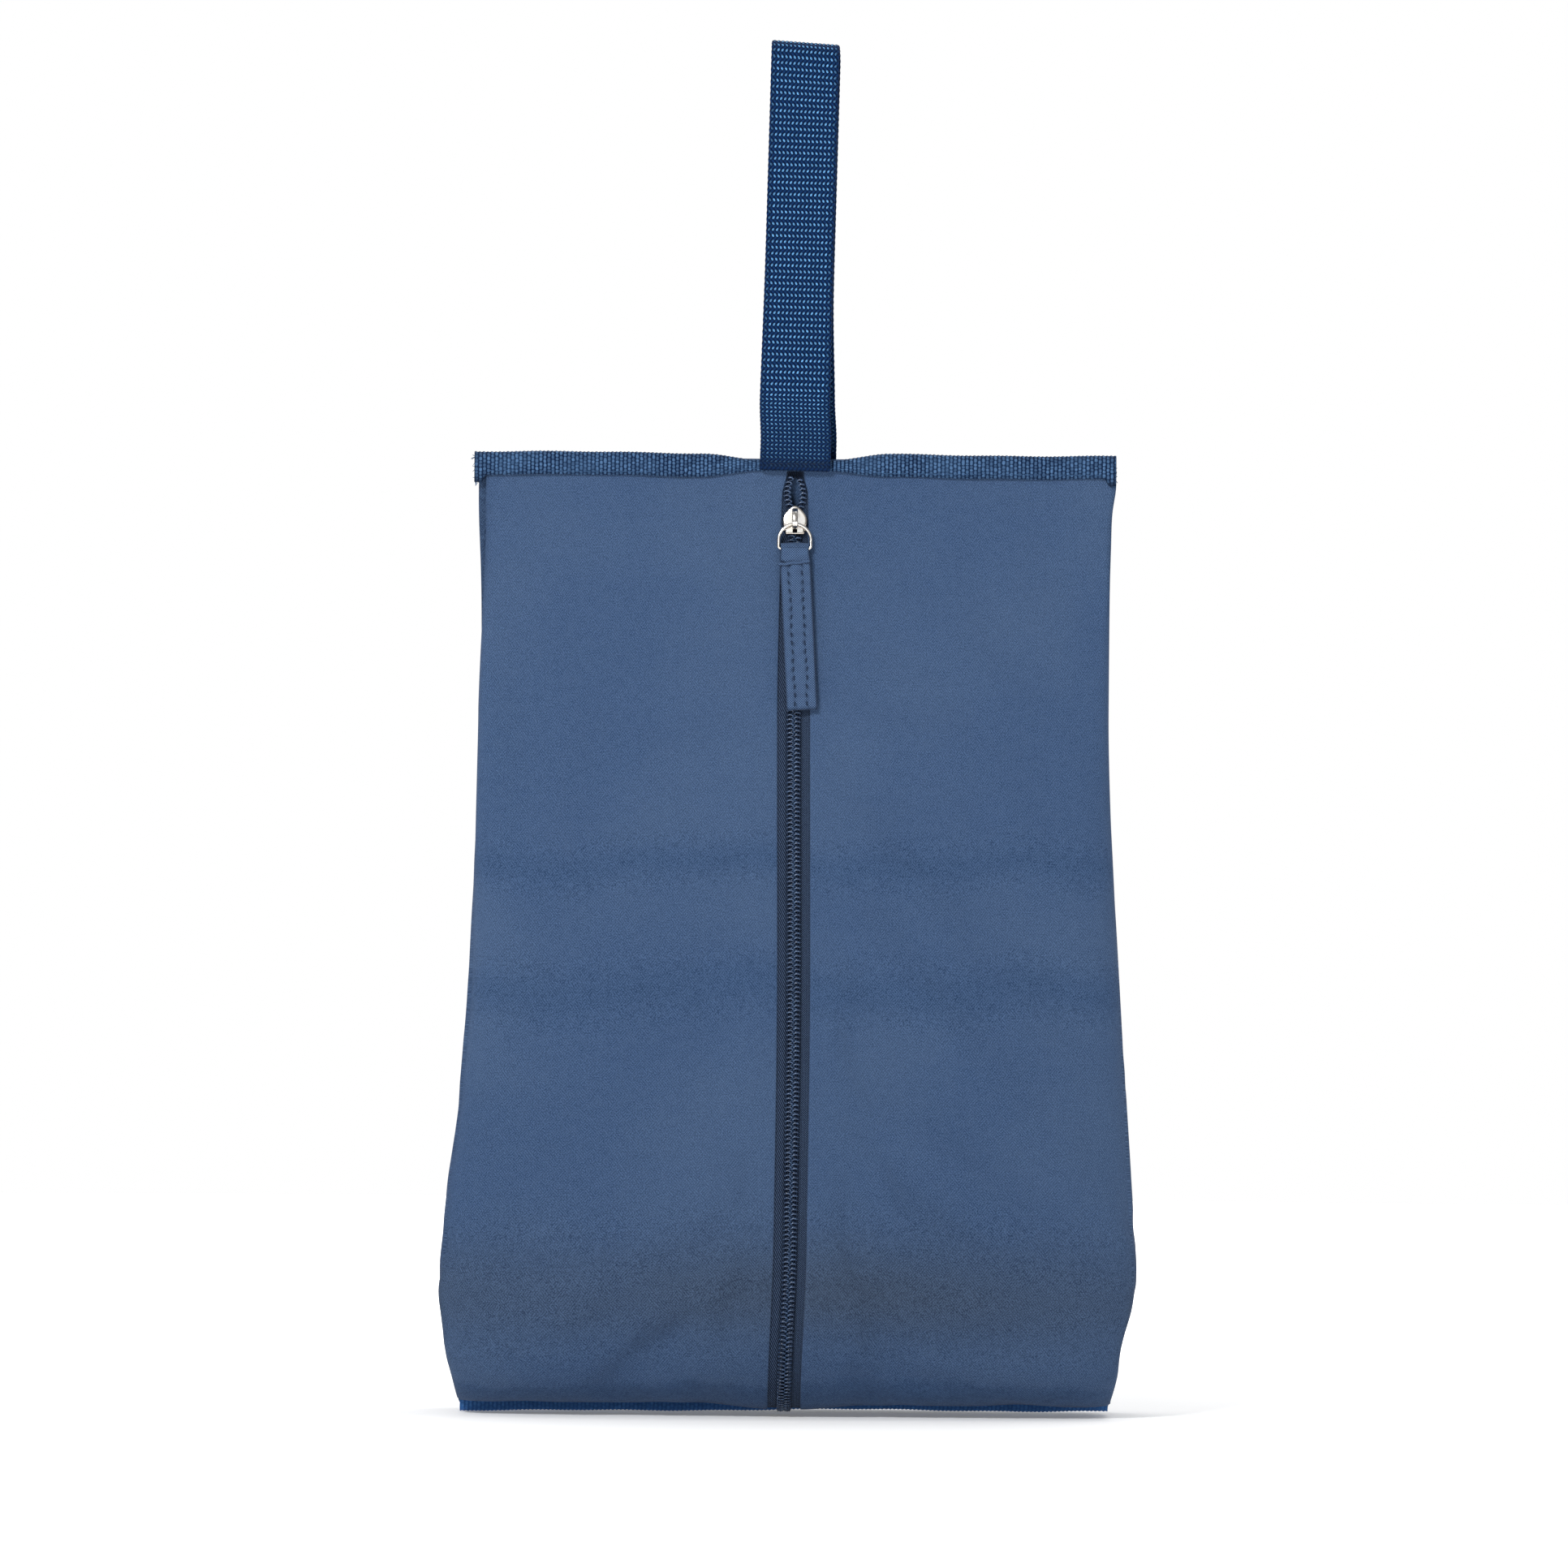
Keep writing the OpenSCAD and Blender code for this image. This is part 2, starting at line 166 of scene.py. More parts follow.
def fullness(v):
    """How full the bag is, from 0 to 1, and its height, at row v: 0 to 1 in the top binding, 1 to 2 down
    the slope, 2 to 3 round the belly and 3 to 4 in the bottom binding."""
    v = np.asarray(v, float)
    lead = 28
    full = [1, 1 + lead / (HEM_Z - BELLY_Z), 0.8, 0]
    high = [BELLY_Z, BELLY_Z - lead, SEAM_Z - 21.5, SEAM_Z]
    k = np.clip(v - 2, 0, 1)
    weights = [(1 - k) ** 3, 3 * (1 - k) ** 2 * k, 3 * (1 - k) * k * k, k**3]
    belly_q = sum(w * p for w, p in zip(weights, full))
    belly_z = sum(w * p for w, p in zip(weights, high))
    q = np.select([v <= 1, v <= 2, v <= 3], [0 * v, v - 1, belly_q], 0)
    z = np.select(
        [v <= 1, v <= 2, v <= 3],
        [mix(TOP_Z - 1.5, HEM_Z, v), mix(HEM_Z, BELLY_Z, v - 1), belly_z],
        mix(SEAM_Z, BOTTOM_Z + 1.5, v - 3),
    )
    return q, z


def half_width(z):
    """Half of the bag's width at a height: it swells towards the belly and tapers below it."""
    below = np.maximum(TOP_Z - np.asarray(z, float), 0)
    swell = TOP_HALF + BELLY_EXTRA * (np.maximum(below - 95, 0) / 201) ** 1.5
    taper = TOP_HALF + 3.35 + 0.2 * (TOP_Z - BOTTOM_Z - below)
    h = np.maximum(4 - np.abs(swell - taper), 0)
    return np.minimum(swell, taper) - h * h / 16 - 0.2 - 0.9 * bump(below, 205, 60)


def middle(z):
    """X of the bag's middle at a height: its foot hangs a little to the left."""
    below = TOP_Z - np.asarray(z, float)
    return BAG_X + 0.9 * bump(below, 205, 80) - 1.5 * smooth(285, 346, below)


def zip_gap(z):
    """Width of the opening between the two cloth edges. It closes up under the handle."""
    below = HEM_Z - np.asarray(z, float)
    opening = mix(9.2, 11.7, smooth(0, 90, below))
    return opening - 3.2 * (1 - smooth(-1, 7, below))


def depth_at(u):
    side = (np.clip(np.abs(u), ZIP_FLAT, 1) - ZIP_FLAT) / (1 - ZIP_FLAT)
    return mix(CORNER_DEPTH, CENTRE_DEPTH, 1 - side**2.2)


def panel_mid(side, u, v):
    """Middle of the front (side -1) or back (side 1) cloth, u from -1 at the left to 1 at the right."""
    q, z = fullness(v)
    x = middle(z) + u * half_width(z)
    y = side * (PANEL_Y + (depth_at(u) - PANEL_Y) * q)
    return together(x, y, z)


def front_mid(hand, k, v):
    """Middle of one half of the front: k is 0 at the zip and 1 at the corner. The left corner is set in
    a little near the top."""
    z = fullness(v)[1]
    half = half_width(z)
    inset = FRONT_INSET * (1 - smooth(20, 100, TOP_Z - z)) if hand < 0 else 0
    return panel_mid(-1, hand * mix(zip_gap(z) / 2 + EDGE_ROLL, half - inset, k) / half, v)


def gusset_mid(hand, k, v):
    """Middle of a side gusset: k is -1 at the front corner, 0 at the crease, 1 at the back corner. Round
    the belly its corners hang low and its crease stays high."""
    q, z = fullness(v)
    a = abs(k)
    half = half_width(z)
    corner_y = PANEL_Y + (CORNER_DEPTH - PANEL_Y) * q
    leaf = GUSSET_HALF - (half - TOP_HALF)
    inset = np.sqrt(np.maximum(leaf**2 - corner_y**2, 1))
    set_in = FRONT_INSET * (1 - smooth(20, 100, TOP_Z - z)) * (hand < 0) * max(-k, 0)
    x = middle(z) + hand * (half - set_in - inset * (1 - a))
    flat_y = GUSSET_Y * min(a / 0.04, 1) + (PANEL_Y - GUSSET_Y) * smooth(0.93, 1, a)
    y = np.sign(k) * ((1 - q) * flat_y + q * a * corner_y)
    crease_z = np.where(v <= 2, z, np.where(v <= 3, mix(BELLY_Z, SEAM_Z + GUSSET_LIFT, v - 2),
                                            z + GUSSET_LIFT * (4 - v)))
    z = mix(crease_z, z, a**1.5)
    return together(x, y, z)


def centre_line(v):
    """The zip's line in Y and Z, with the droop of the stiff zip under the belly."""
    p = panel_mid(-1, 0 * np.asarray(v, float), v)
    p[..., 2] -= ZIP_DROOP * bump(v, 2.8, 0.2)
    return p


V_FINE = np.linspace(0, 4, 4001)
LINE = centre_line(V_FINE)
LINE_LENGTH = run_of(LINE)
CLOTH_LENGTH = LINE_LENGTH[-1]
HEM_LENGTH = np.interp(1, V_FINE, LINE_LENGTH)


def row_at(length):
    return np.interp(length, LINE_LENGTH, V_FINE)


# ---------------------------------------------------------------- meshes


def quads(m, n, wrap=False):
    """Faces of an m by n grid of points, closed across its columns if wrap."""
    i, j = np.meshgrid(np.arange(m - 1), np.arange(n if wrap else n - 1), indexing="ij")
    right = (j + 1) % n
    return np.stack([i * n + j, (i + 1) * n + j, (i + 1) * n + right, i * n + right], -1).reshape(-1, 4)


def mesh_object(name, points, faces, weave=None):
    """A smooth mesh from points in millimetres. weave gives each point's place on the flat cloth."""
    mesh = bpy.data.meshes.new(name)
    mesh.from_pydata((np.asarray(points).reshape(-1, 3) * MM).tolist(), [], [list(f) for f in faces])
    if weave is not None:
        attribute = mesh.attributes.new("weave", "FLOAT_VECTOR", "POINT")
        attribute.data.foreach_set("vector", np.asarray(weave, np.float32).reshape(-1))
    mesh.polygons.foreach_set("use_smooth", [True] * len(mesh.polygons))
    mesh.update()
    obj = bpy.data.objects.new(name, mesh)
    bpy.context.scene.collection.objects.link(obj)
    return obj


def grid(name, points, weave=None, wrap=False, caps=False):
    """A mesh on an (m, n, 3) array of points, with its two ends filled if caps."""
    m, n = points.shape[:2]
    faces = quads(m, n, wrap).tolist()
    if caps:
        faces.append(list(range(n)))
        faces.append(list(range((m - 1) * n, m * n))[::-1])
    if weave is not None:
        weave = np.concatenate([weave, np.zeros((m, n, 3 - weave.shape[-1]))], -1)
    obj = mesh_object(name, points, faces, weave)
    if caps:
        face_outwards(obj)
    return obj


def face_outwards(obj):
    b = bmesh.new()
    b.from_mesh(obj.data)
    bmesh.ops.recalc_face_normals(b, faces=b.faces)
    b.to_mesh(obj.data)
    b.free()


def join(name, objects):
    """Joins mesh objects into one, which keeps the first one's place in the scene."""
    points, faces, weave, first = [], [], [], 0
    for obj in objects:
        count = len(obj.data.vertices)
        co = np.zeros(count * 3)
        obj.data.vertices.foreach_get("co", co)
        points.append(co.reshape(-1, 3) / MM)
        flat = np.zeros(count * 3, np.float32)
        if "weave" in obj.data.attributes:
            obj.data.attributes["weave"].data.foreach_get("vector", flat)
        weave.append(flat.reshape(-1, 3))
        faces += [[first + i for i in p.vertices] for p in obj.data.polygons]
        first += count
        bpy.data.objects.remove(obj)
    return mesh_object(name, np.concatenate(points), faces, np.concatenate(weave))


def painted(obj, material):
    obj.data.materials.append(material)
    return obj


def unit(v):
    return v / np.maximum(np.linalg.norm(v, axis=-1, keepdims=True), 1e-9)


def tube(name, path, radius, sides=8, closed=False, flat=1.0):
    """A round wire or thread along a path, with rounded ends unless it is closed."""
    path = np.asarray(path, float)
    along = np.roll(path, -1, 0) - np.roll(path, 1, 0) if closed else np.gradient(path, axis=0)
    along = unit(along)
    up = np.array([0.0, 0.0, 1.0]) if abs(along[0][2]) < 0.8 else np.array([0.0, 1.0, 0.0])
    normals = []
    for t in along:
        up = unit(up - t * float(up @ t))
        normals.append(up)
    normals = np.array(normals)
    across = np.cross(along, normals)
    radii = np.full(len(path), float(radius))
    if not closed:
        tip = radius * 0.6
        path = np.concatenate([path[:1] - along[:1] * tip, path, path[-1:] + along[-1:] * tip])
        normals, across = [np.concatenate([v[:1], v, v[-1:]]) for v in (normals, across)]
        radii = np.concatenate([[radius * 0.45], radii, [radius * 0.45]])
    angle = np.arange(sides) * 2 * math.pi / sides
    ring = (
        normals[:, None] * np.cos(angle)[None, :, None] * flat
        + across[:, None] * np.sin(angle)[None, :, None]
    )
    points = path[:, None] + ring * radii[:, None, None]
    # Painted shade on the sides seen edge-on from the front and the back
    side = np.abs(np.sum(unit(ring) * np.array([0.0, 1.0, 0.0]), axis=-1))
    weave = together(angle * radius, run_of(path)[:, None], 0.95 * (1 - side) ** 1.3)
    if closed:
        points, weave = np.concatenate([points, points[:1]]), np.concatenate([weave, weave[:1]])
        return grid(name, points, weave, wrap=True)
    return grid(name, points, weave, wrap=True, caps=True)


# ---------------------------------------------------------------- node materials


class Value:
    """A socket in a material's node tree. Ordinary arithmetic on it adds maths nodes."""

    def __init__(self, maker, socket):
        self.maker, self.socket = maker, socket

    def __add__(self, other):
        return self.maker.math("ADD", self, other)

    def __sub__(self, other):
        return self.maker.math("SUBTRACT", self, other)

    def __rsub__(self, other):
        return self.maker.math("SUBTRACT", other, self)

    def __mul__(self, other):
        return self.maker.math("MULTIPLY", self, other)

    def __truediv__(self, other):
        return self.maker.math("DIVIDE", self, other)

    def __mod__(self, other):
        return self.maker.math("MODULO", self, other)

    def __pow__(self, other):
        return self.maker.math("POWER", self, other)

    def __abs__(self):
        return self.maker.math("ABSOLUTE", self)

    def floor(self):
        return self.maker.math("FLOOR", self)

    def part(self):
        """The part after the decimal point."""
        return self.maker.math("FRACT", self)


class Maker:
    """Builds one node material. Values, plain numbers and colours can be mixed in its calls."""

    def __init__(self, name):
        self.material = bpy.data.materials.new(name)
        self.material.use_nodes = True
        self.tree = self.material.node_tree
        self.shader = self.tree.nodes["Principled BSDF"]

    def put(self, socket, value):
        if isinstance(value, Value):
            self.tree.links.new(value.socket, socket)
        elif isinstance(value, tuple) and len(value) == 3:
            socket.default_value = (*value, 1)
        else:
            socket.default_value = value

    def node(self, kind, inputs, **settings):
        """Adds a node with values for its inputs, by name or by number, and returns its outputs."""
        node = self.tree.nodes.new("ShaderNode" + kind)
        for name, value in settings.items():
            setattr(node, name, value)
        for name, value in inputs.items():
            self.put(node.inputs[name], value)
        return [Value(self, socket) for socket in node.outputs]

    def math(self, operation, *values):
        return self.node("Math", dict(enumerate(values)), operation=operation)[0]

    def weave(self):
        """The point's place across and along the flat cloth in millimetres, both as one vector, and its
        shade."""
        vector = self.node("Attribute", {}, attribute_name="weave")[1]
        across, along, shade = self.node("SeparateXYZ", {0: vector})
        return across, along, vector, shade

    def place(self):
        return self.node("TexCoord", {})[3]

    def distance(self, vector):
        return self.node("VectorMath", {0: vector}, operation="LENGTH")[1]

    def pair(self, x, y):
        return self.node("CombineXYZ", {0: x, 1: y})[0]

    def noise(self, vector, scale, detail=3.0, rough=0.5):
        inputs = {"Vector": vector, "Scale": scale, "Detail": detail, "Roughness": rough}
        return self.node("TexNoise", inputs)[0]

    def span(self, value, low, high, to_low=0.0, to_high=1.0):
        inputs = {"Value": value, "From Min": low, "From Max": high, "To Min": to_low, "To Max": to_high}
        return self.node("MapRange", inputs, interpolation_type="SMOOTHSTEP")[0]

    def wave(self, value, pitch):
        """0 to 1 and back in one pitch."""
        return self.math("SINE", value * (2 * math.pi / pitch)) * 0.5 + 0.5

    def blend(self, factor, a, b):
        return self.node("Mix", {0: factor, 6: a, 7: b}, data_type="RGBA")[2]

    def set(self, **values):
        for name, value in values.items():
            self.put(self.shader.inputs[name.replace("_", " ")], value)

    def fabric(self, tone, roughness, sheen, sheen_rough=0.4, specular=0.08):
        self.set(Base_Color=tone, Roughness=roughness, Sheen_Weight=sheen, Sheen_Roughness=sheen_rough,
                 Specular_IOR_Level=specular)

    def bumped(self, height, strength, distance):
        """Adds relief in metres and returns the finished material."""
        inputs = {"Strength": strength, "Distance": distance, "Height": height}
        self.set(Normal=self.node("Bump", inputs)[0])
        return self.material


def srgb(r, g, b):
    """Linear colour of an 8-bit screen colour."""
    return tuple(
        c / 12.92 if c <= 0.04045 else ((c + 0.055) / 1.055) ** 2.4 for c in (r / 255, g / 255, b / 255)
    )


CLOTH_PITCH = 0.72
CLOTH_SLOPE = 0.75
# Along the cloth: where the back's middle is, and how far from there the rubbed front corners are
CLOTH_BACK_AT = 328
CLOTH_CORNER_OFF = 204
CLOTH_DEEP = srgb(44, 67, 102)
CLOTH_PALE = srgb(54, 75, 107)
CLOTH_GREY = srgb(49, 61, 81)
CLOTH_SHADE = srgb(33, 58, 93)
CLOTH_BELLY_SHADE = srgb(43, 52, 68)
CLOTH_DEEP_SHADE = srgb(6, 14, 34)
CLOTH_LIT = srgb(126, 156, 196)


def cloth_material():
    """Blue cloth in a fine broken twill that leans both ways, with soft, cloudy changes of tone and rubbed
    flatter behind its front corners. Its ridges carry a painted highlight, its valleys painted shade, and
    the weave's third value adds painted shade."""
    m = Maker("cloth")
    across, along, weave, shade = m.weave()
    patch = m.span(m.noise(weave, 0.4, 2), 0.35, 0.65)
    drift = m.noise(weave, 0.8, 1) * 0.5
    pitch = CLOTH_PITCH * math.hypot(1, CLOTH_SLOPE)
    left, right = [m.wave(drift + (along * (sign * CLOTH_SLOPE) + across), pitch) for sign in (-1, 1)]
    rib = (left * patch + right * (1.0 - patch)) * m.span(m.noise(weave, 1.6, 1), 0.3, 0.7, 0.2, 1.0)
    wear_and_shade = m.span(abs(abs(across - CLOTH_BACK_AT) - CLOTH_CORNER_OFF), 14, 8)
    rib = rib * (wear_and_shade * -0.8 + 1.0)
    broken = m.noise(weave, 3.2, 4, 0.8)
    mottle = m.noise(weave, 0.3, 3, 0.6)
    height = rib * 0.36 + broken * 1.25 + m.span(mottle, 0.2, 0.8, -0.035, 0.035)
    clouds = m.noise(weave, 0.013, 3, 0.5)
    tone = m.blend(m.span(clouds, 0.36, 0.66), CLOTH_DEEP, CLOTH_PALE)
    tone = m.blend(m.span(mottle, 0.35, 0.75) * 0.14, tone, CLOTH_GREY)
    # The painted shade is 0 to 1 in shaded places, above 1 in the darkest and below 0 where a greyer
    # painted shade lies round the belly
    for factor, colour in ((shade, CLOTH_SHADE), (shade - 1.0, CLOTH_DEEP_SHADE), (shade * -1.0, CLOTH_BELLY_SHADE)):
        tone = m.blend(factor, tone, colour)
    # Painted highlight on the twill's ridges and painted shade in its valleys
    lit = m.span(height, 0.4, 1.0)
    tone = m.blend(lit, m.blend(0.5, tone, CLOTH_DEEP_SHADE), m.blend(0.21, tone, CLOTH_LIT))
    m.fabric(tone, m.span(broken, 0.3, 0.8, 0.8, 0.93), 0.04, sheen_rough=0.5)
    return m.bumped(height, 0.55, 0.00012)


def knots(m, across, along, wide, tall, slant, narrow, short):
    """A row-by-row pattern of slanted oval knots, 1 at the middle of each and 0 between them."""
    odd = abs((along / tall).floor()) % 2.0 * 2.0 - 1.0
    y = (along / tall).part() - 0.5
    x = (across / wide + y * odd * slant).part() - 0.5
    spread = (x * narrow) ** 2.0 + (y * short) ** 2.0
    return 1.0 - m.math("MINIMUM", spread, 1.0)


WEB_ROW = 2.15
WEB_SEWN_ROW = 1.5
WEB_KNOT = 1.555
SELVEDGE = 1.5


def webbing_material():
    """Coarse navy webbing: rows of short slanted knots with a painted highlight on dark cords, a dense
    selvedge at each side and duller, pressed knots towards its sewn ends, with painted shade on the
    turned-under ends."""
    m = Maker("webbing")
    across, along, weave, dulled_and_shaded = m.weave()
    bright = knots(m, across, along, WEB_KNOT, WEB_ROW, 0.5, 2.9, 3.0)
    dull = knots(m, across + WEB_KNOT / 2, along + WEB_ROW / 2, WEB_KNOT, WEB_ROW, -0.8, 2.2, 2.4)
    fibre = m.noise(weave, 5.0, 3)
    uneven = m.span(m.noise(weave, 0.55, 2), 0.3, 0.7, 0.55, 1.0)
    light = m.span(bright, 0.15, 0.85) * m.span(fibre, 0.25, 0.7, 0.5, 1.0) * uneven * (1.0 - dulled_and_shaded)
    edge = m.span(abs(across - STRAP_W / 2), STRAP_W / 2 - SELVEDGE, STRAP_W / 2 - 0.6 * SELVEDGE)
    light = light * (edge * -0.6 + 1.0)
    tone = m.blend(m.span(dull, 0.1, 0.9), srgb(3, 22, 52), srgb(10, 42, 84))
    # Painted highlight on the knots' tops
    tone = m.blend(light, tone, srgb(112, 176, 232))
    # Duller and darker towards the sewn ends, with painted shade on the turned-under ends
    tone = m.blend(dulled_and_shaded * 0.45, tone, srgb(20, 32, 52))
    height = m.math("MAXIMUM", bright, dull * 0.6)
    m.fabric(tone, m.span(height, 0.0, 1.0, 0.8, 0.5), 0.02, specular=0.06)
    return m.bumped(height + fibre * 0.25, 0.7, 0.0003)


RIB_PITCH = 1.46
RIB_KNOT = 1.4


def binding_material(name, light, dark, fade=0.0):
    """Ribbed tape: short ribs across the tape, each broken into knots, staggered from rib to rib."""
    m = Maker(name)
    across, along, weave, shade = m.weave()
    along = m.noise(weave, 0.5, 2) * 0.5 + along
    rib = (along / RIB_PITCH).floor()
    stagger = abs(rib) % 2.0 * (RIB_KNOT / 2)
    drift = m.noise(m.pair(rib * 3.7, across * 0.3), 1.0, 1) * 2.2
    place = (across + (stagger + drift)) / RIB_KNOT
    x = place.part() - 0.5
    y = (along / RIB_PITCH).part() - 0.5
    spread = (abs(x) * 1.9) ** 3.0 + (abs(y) * 2.35) ** 2.2
    knot = 1.0 - m.math("MINIMUM", spread, 1.0)
    fibre = m.noise(weave, 4.0, 3)
    each = m.noise(m.pair(rib * 5.3, place.floor() * 4.1), 1.0, 1)
    lit = m.span(knot, 0.0, 0.9) * m.span(fibre, 0.25, 0.75, 0.35, 1.0) * m.span(each, 0.3, 0.68, 0.45, 1.0)
    half = m.blend(0.5, dark, light)
    tone = m.blend(m.span(m.noise(weave, 0.06, 2), 0.4, 0.75, 0.0, 0.2), m.blend(lit, dark, light), half)
    # The weave's third value darkens the tape: painted shade along its edges and hanging ends, darker still
    # at its cut ends
    tone = m.blend(shade, m.blend(fade, tone, half), srgb(12, 24, 44))
    m.fabric(tone, m.span(knot, 0.0, 1.0, 0.85, 0.6), 0.03)
    return m.bumped(knot + fibre * 0.25, 0.6, 0.00025)


def zip_tape_material():
    """Navy tape: long diagonal ribs on its left half, a fine check on its right half, with painted shade by
    the coil.
    The right half's places across start at RIGHT_TAPE."""
    m = Maker("zip_tape")
    across, along, weave, _ = m.weave()
    rib = m.wave(m.math("PINGPONG", across, 6.5) * 2.1 + along, 1.6)
    check = m.wave(along + across, 0.8) * m.wave(along - across, 0.8)
    right = m.span(across, 14, 16)
    rib = rib * (1.0 - right) + (check * 1.3 + 0.3) * right
    fibre = m.noise(weave, 3.0, 3, 0.7)
    height = rib * (m.wave(across, 0.62) * 0.4 + 0.6)
    lit = m.span(height, 0.1, 0.8) * m.span(fibre, 0.35, 0.7, 0.3, 1.0)
    tone = m.blend(lit, srgb(12, 21, 38), srgb(82, 101, 130))
    # Painted shade next to the coil
    tone = m.blend(m.span(across % RIGHT_TAPE, 3.6, 1.8) * 0.8, tone, srgb(7, 12, 24))
    m.fabric(tone, 0.82, 0.03)
    return m.bumped(height, 0.6, 0.00015)


def nylon_material():
    """Half-gloss navy nylon, a little lighter where the filament is drawn thin."""
    m = Maker("nylon")
    _, _, weave, _ = m.weave()
    cloud = m.noise(weave, 0.8, 3)
    tone = m.blend(m.span(cloud, 0.3, 0.7), srgb(30, 48, 74), srgb(66, 90, 124))
    m.set(Base_Color=tone, Roughness=m.span(cloud, 0.2, 0.8, 0.18, 0.32), Specular_IOR_Level=0.7)
    return m.bumped(m.noise(weave, 6.0, 2), 0.15, 0.00004)


def thread_material(name, light, dark):
    """Spun thread: two plies that wind round each other."""
    m = Maker(name)
    across, along, weave, _ = m.weave()
    ply = m.wave(along + across * 0.9, 0.55)
    fibre = m.noise(weave, 9.0, 2)
    tone = m.blend(ply * m.span(fibre, 0.2, 0.8, 0.5, 1.0), dark, light)
    m.fabric(tone, 0.75, 0.02, specular=0.1)
    return m.bumped(ply, 0.5, 0.00006)


def tab_material():
    """Basket weave in pairs of threads, with painted shade along the turned edges, beside the stitching and
    at the cut end.
    """
    m = Maker("tab_cloth")
    across, along, weave, shade = m.weave()
    check = m.wave(across + along, 0.9) * m.wave(across - along, 0.9)
    height = check * 0.8 + m.noise(weave, 4.0, 3) * 0.6
    tone = m.blend(m.span(height, 0.2, 1.0), srgb(40, 58, 86), srgb(96, 121, 157))
    tone = m.blend(m.span(m.noise(weave, 0.4, 3), 0.4, 0.7) * 0.3, tone, srgb(52, 66, 92))
    m.fabric(m.blend(shade, tone, srgb(18, 28, 48)), 0.85, 0.04, sheen_rough=0.5)
    return m.bumped(height, 0.6, 0.00014)


def nickel_material():
    """Bright nickel plate with faint scratches and slight warm stains, a warm painted shade towards its
    rims, and black painted shade where that value is 2."""
    m = Maker("nickel")
    place = m.place()
    _, _, _, edge_shade = m.weave()
    stain = m.noise(place, 260.0, 3)
    tone = m.blend(m.span(stain, 0.4, 0.75, 0.0, 0.6), srgb(238, 236, 232), srgb(222, 210, 188))
    # Warm painted shade towards the rims, and black painted shade where the value is 2
    tone = m.blend(edge_shade, tone, srgb(128, 100, 70))
    tone = m.blend(edge_shade - 1.0, tone, srgb(14, 12, 14))
    m.set(Base_Color=tone, Metallic=1.0, Roughness=m.span(stain, 0.3, 0.7, 0.16, 0.3))
    return m.bumped(m.noise(place, 2400.0, 2), 0.08, 0.00003)


# ---------------------------------------------------------------- the cloth bag


def column_places(step):
    """Where each column of the shell lies: (region, hand, value) from the right zip edge round the back
    to the left zip edge."""
    front, side, back = round(110 / step), round(50 / step), round(228 / step)
    ks = np.linspace(0, 1, front + 1)
    gs = np.concatenate([np.linspace(-1, 0, side + 1), np.linspace(0, 1, side + 1)[1:]])
    us = np.linspace(1, -1, back + 1)
    places = [("front", 1, k) for k in ks]
    places += [("side", 1, k) for k in gs]
    places += [("back", 0, u) for u in us]
    places += [("side", -1, k) for k in -gs]
    return places + [("front", -1, k) for k in ks[::-1]]


def shell_points(places, rows):
    columns = []
    for region, hand, value in places:
        if region == "front":
            columns.append(front_mid(hand, value, rows))
        elif region == "side":
            columns.append(gusset_mid(hand, value, rows))
        else:
            columns.append(panel_mid(1, value, rows))
    return np.stack(columns, axis=1)


def soften_corners(points, places, rows):
    """Rounds the corners more the fuller the bag is, then restores each row's width."""
    full = fullness(rows)[0]
    near = np.zeros(len(places))
    for j, (region, _, value) in enumerate(places):
        if region == "side":
            near[j] = 1
        elif region == "back":
            near[j] = smooth(0.72, 0.95, abs(value))
        else:
            near[j] = smooth(0.72, 0.95, value)
    weight = 0.5 * smooth(0.12, 0.95, full)[:, None, None] * near[None, :, None]
    for _ in range(60):
        mean = (np.roll(points, 1, 1) + np.roll(points, -1, 1)) / 2
        points = mix(points, mean, weight)
    return restore_width(points, rows)


def restore_width(points, rows):
    """Stretches each row sideways until it is as wide as the bag should be there."""
    height = fullness(rows)[1]
    below = TOP_Z - height
    half, mid = half_width(height)[:, None], middle(height)[:, None]
    # The corners under the top edge and the left side of the belly stand out a little
    more = {-1: 0.7 * bump(below, 18, 25) + 1.1 * smooth(235, 262, below) * smooth(350, 325, below),
            1: 2.0 * bump(below, 9, 9) + 0.6 * bump(below, 25, 20)}
    off = points[..., 0] - mid
    for hand in (-1, 1):
        reach = np.max(hand * off, axis=1, keepdims=True)
        grow = mix(1, (half + more[hand][:, None]) / reach, smooth(20, 90, hand * off))
        off = np.where(hand * off > 0, off * grow, off)
    points[..., 0] = mid + off
    return points


def creases(across, along):
    """Soft dents and folds of the cloth, in millimetres outwards. across is measured from the
    zip, positive to the right, and along from the top edge."""
    out = -1.5 * bump(along, 287, 9) * smooth(-8, -30, across) * (0.6 + 0.4 * np.sin(across / 23))
    out += 1.1 * bump(along, 303, 12) * smooth(-8, -30, across)
    slant = along - 272 - 0.55 * (across - 56)
    out += -2.6 * bump(slant, 0, 8) * bump(across, 58, 20)
    out += 2.0 * bump(slant, -15, 9) * bump(across, 54, 20)
    out += -1.6 * bump(along, 322, 8) * bump(across, 72, 34)
    out += 0.5 * np.sin(across / 15 + 1.1) * bump(along, 338, 12)
    out += 0.45 * np.sin(along / 31 + across / 60) * smooth(40, 200, along)
    return out


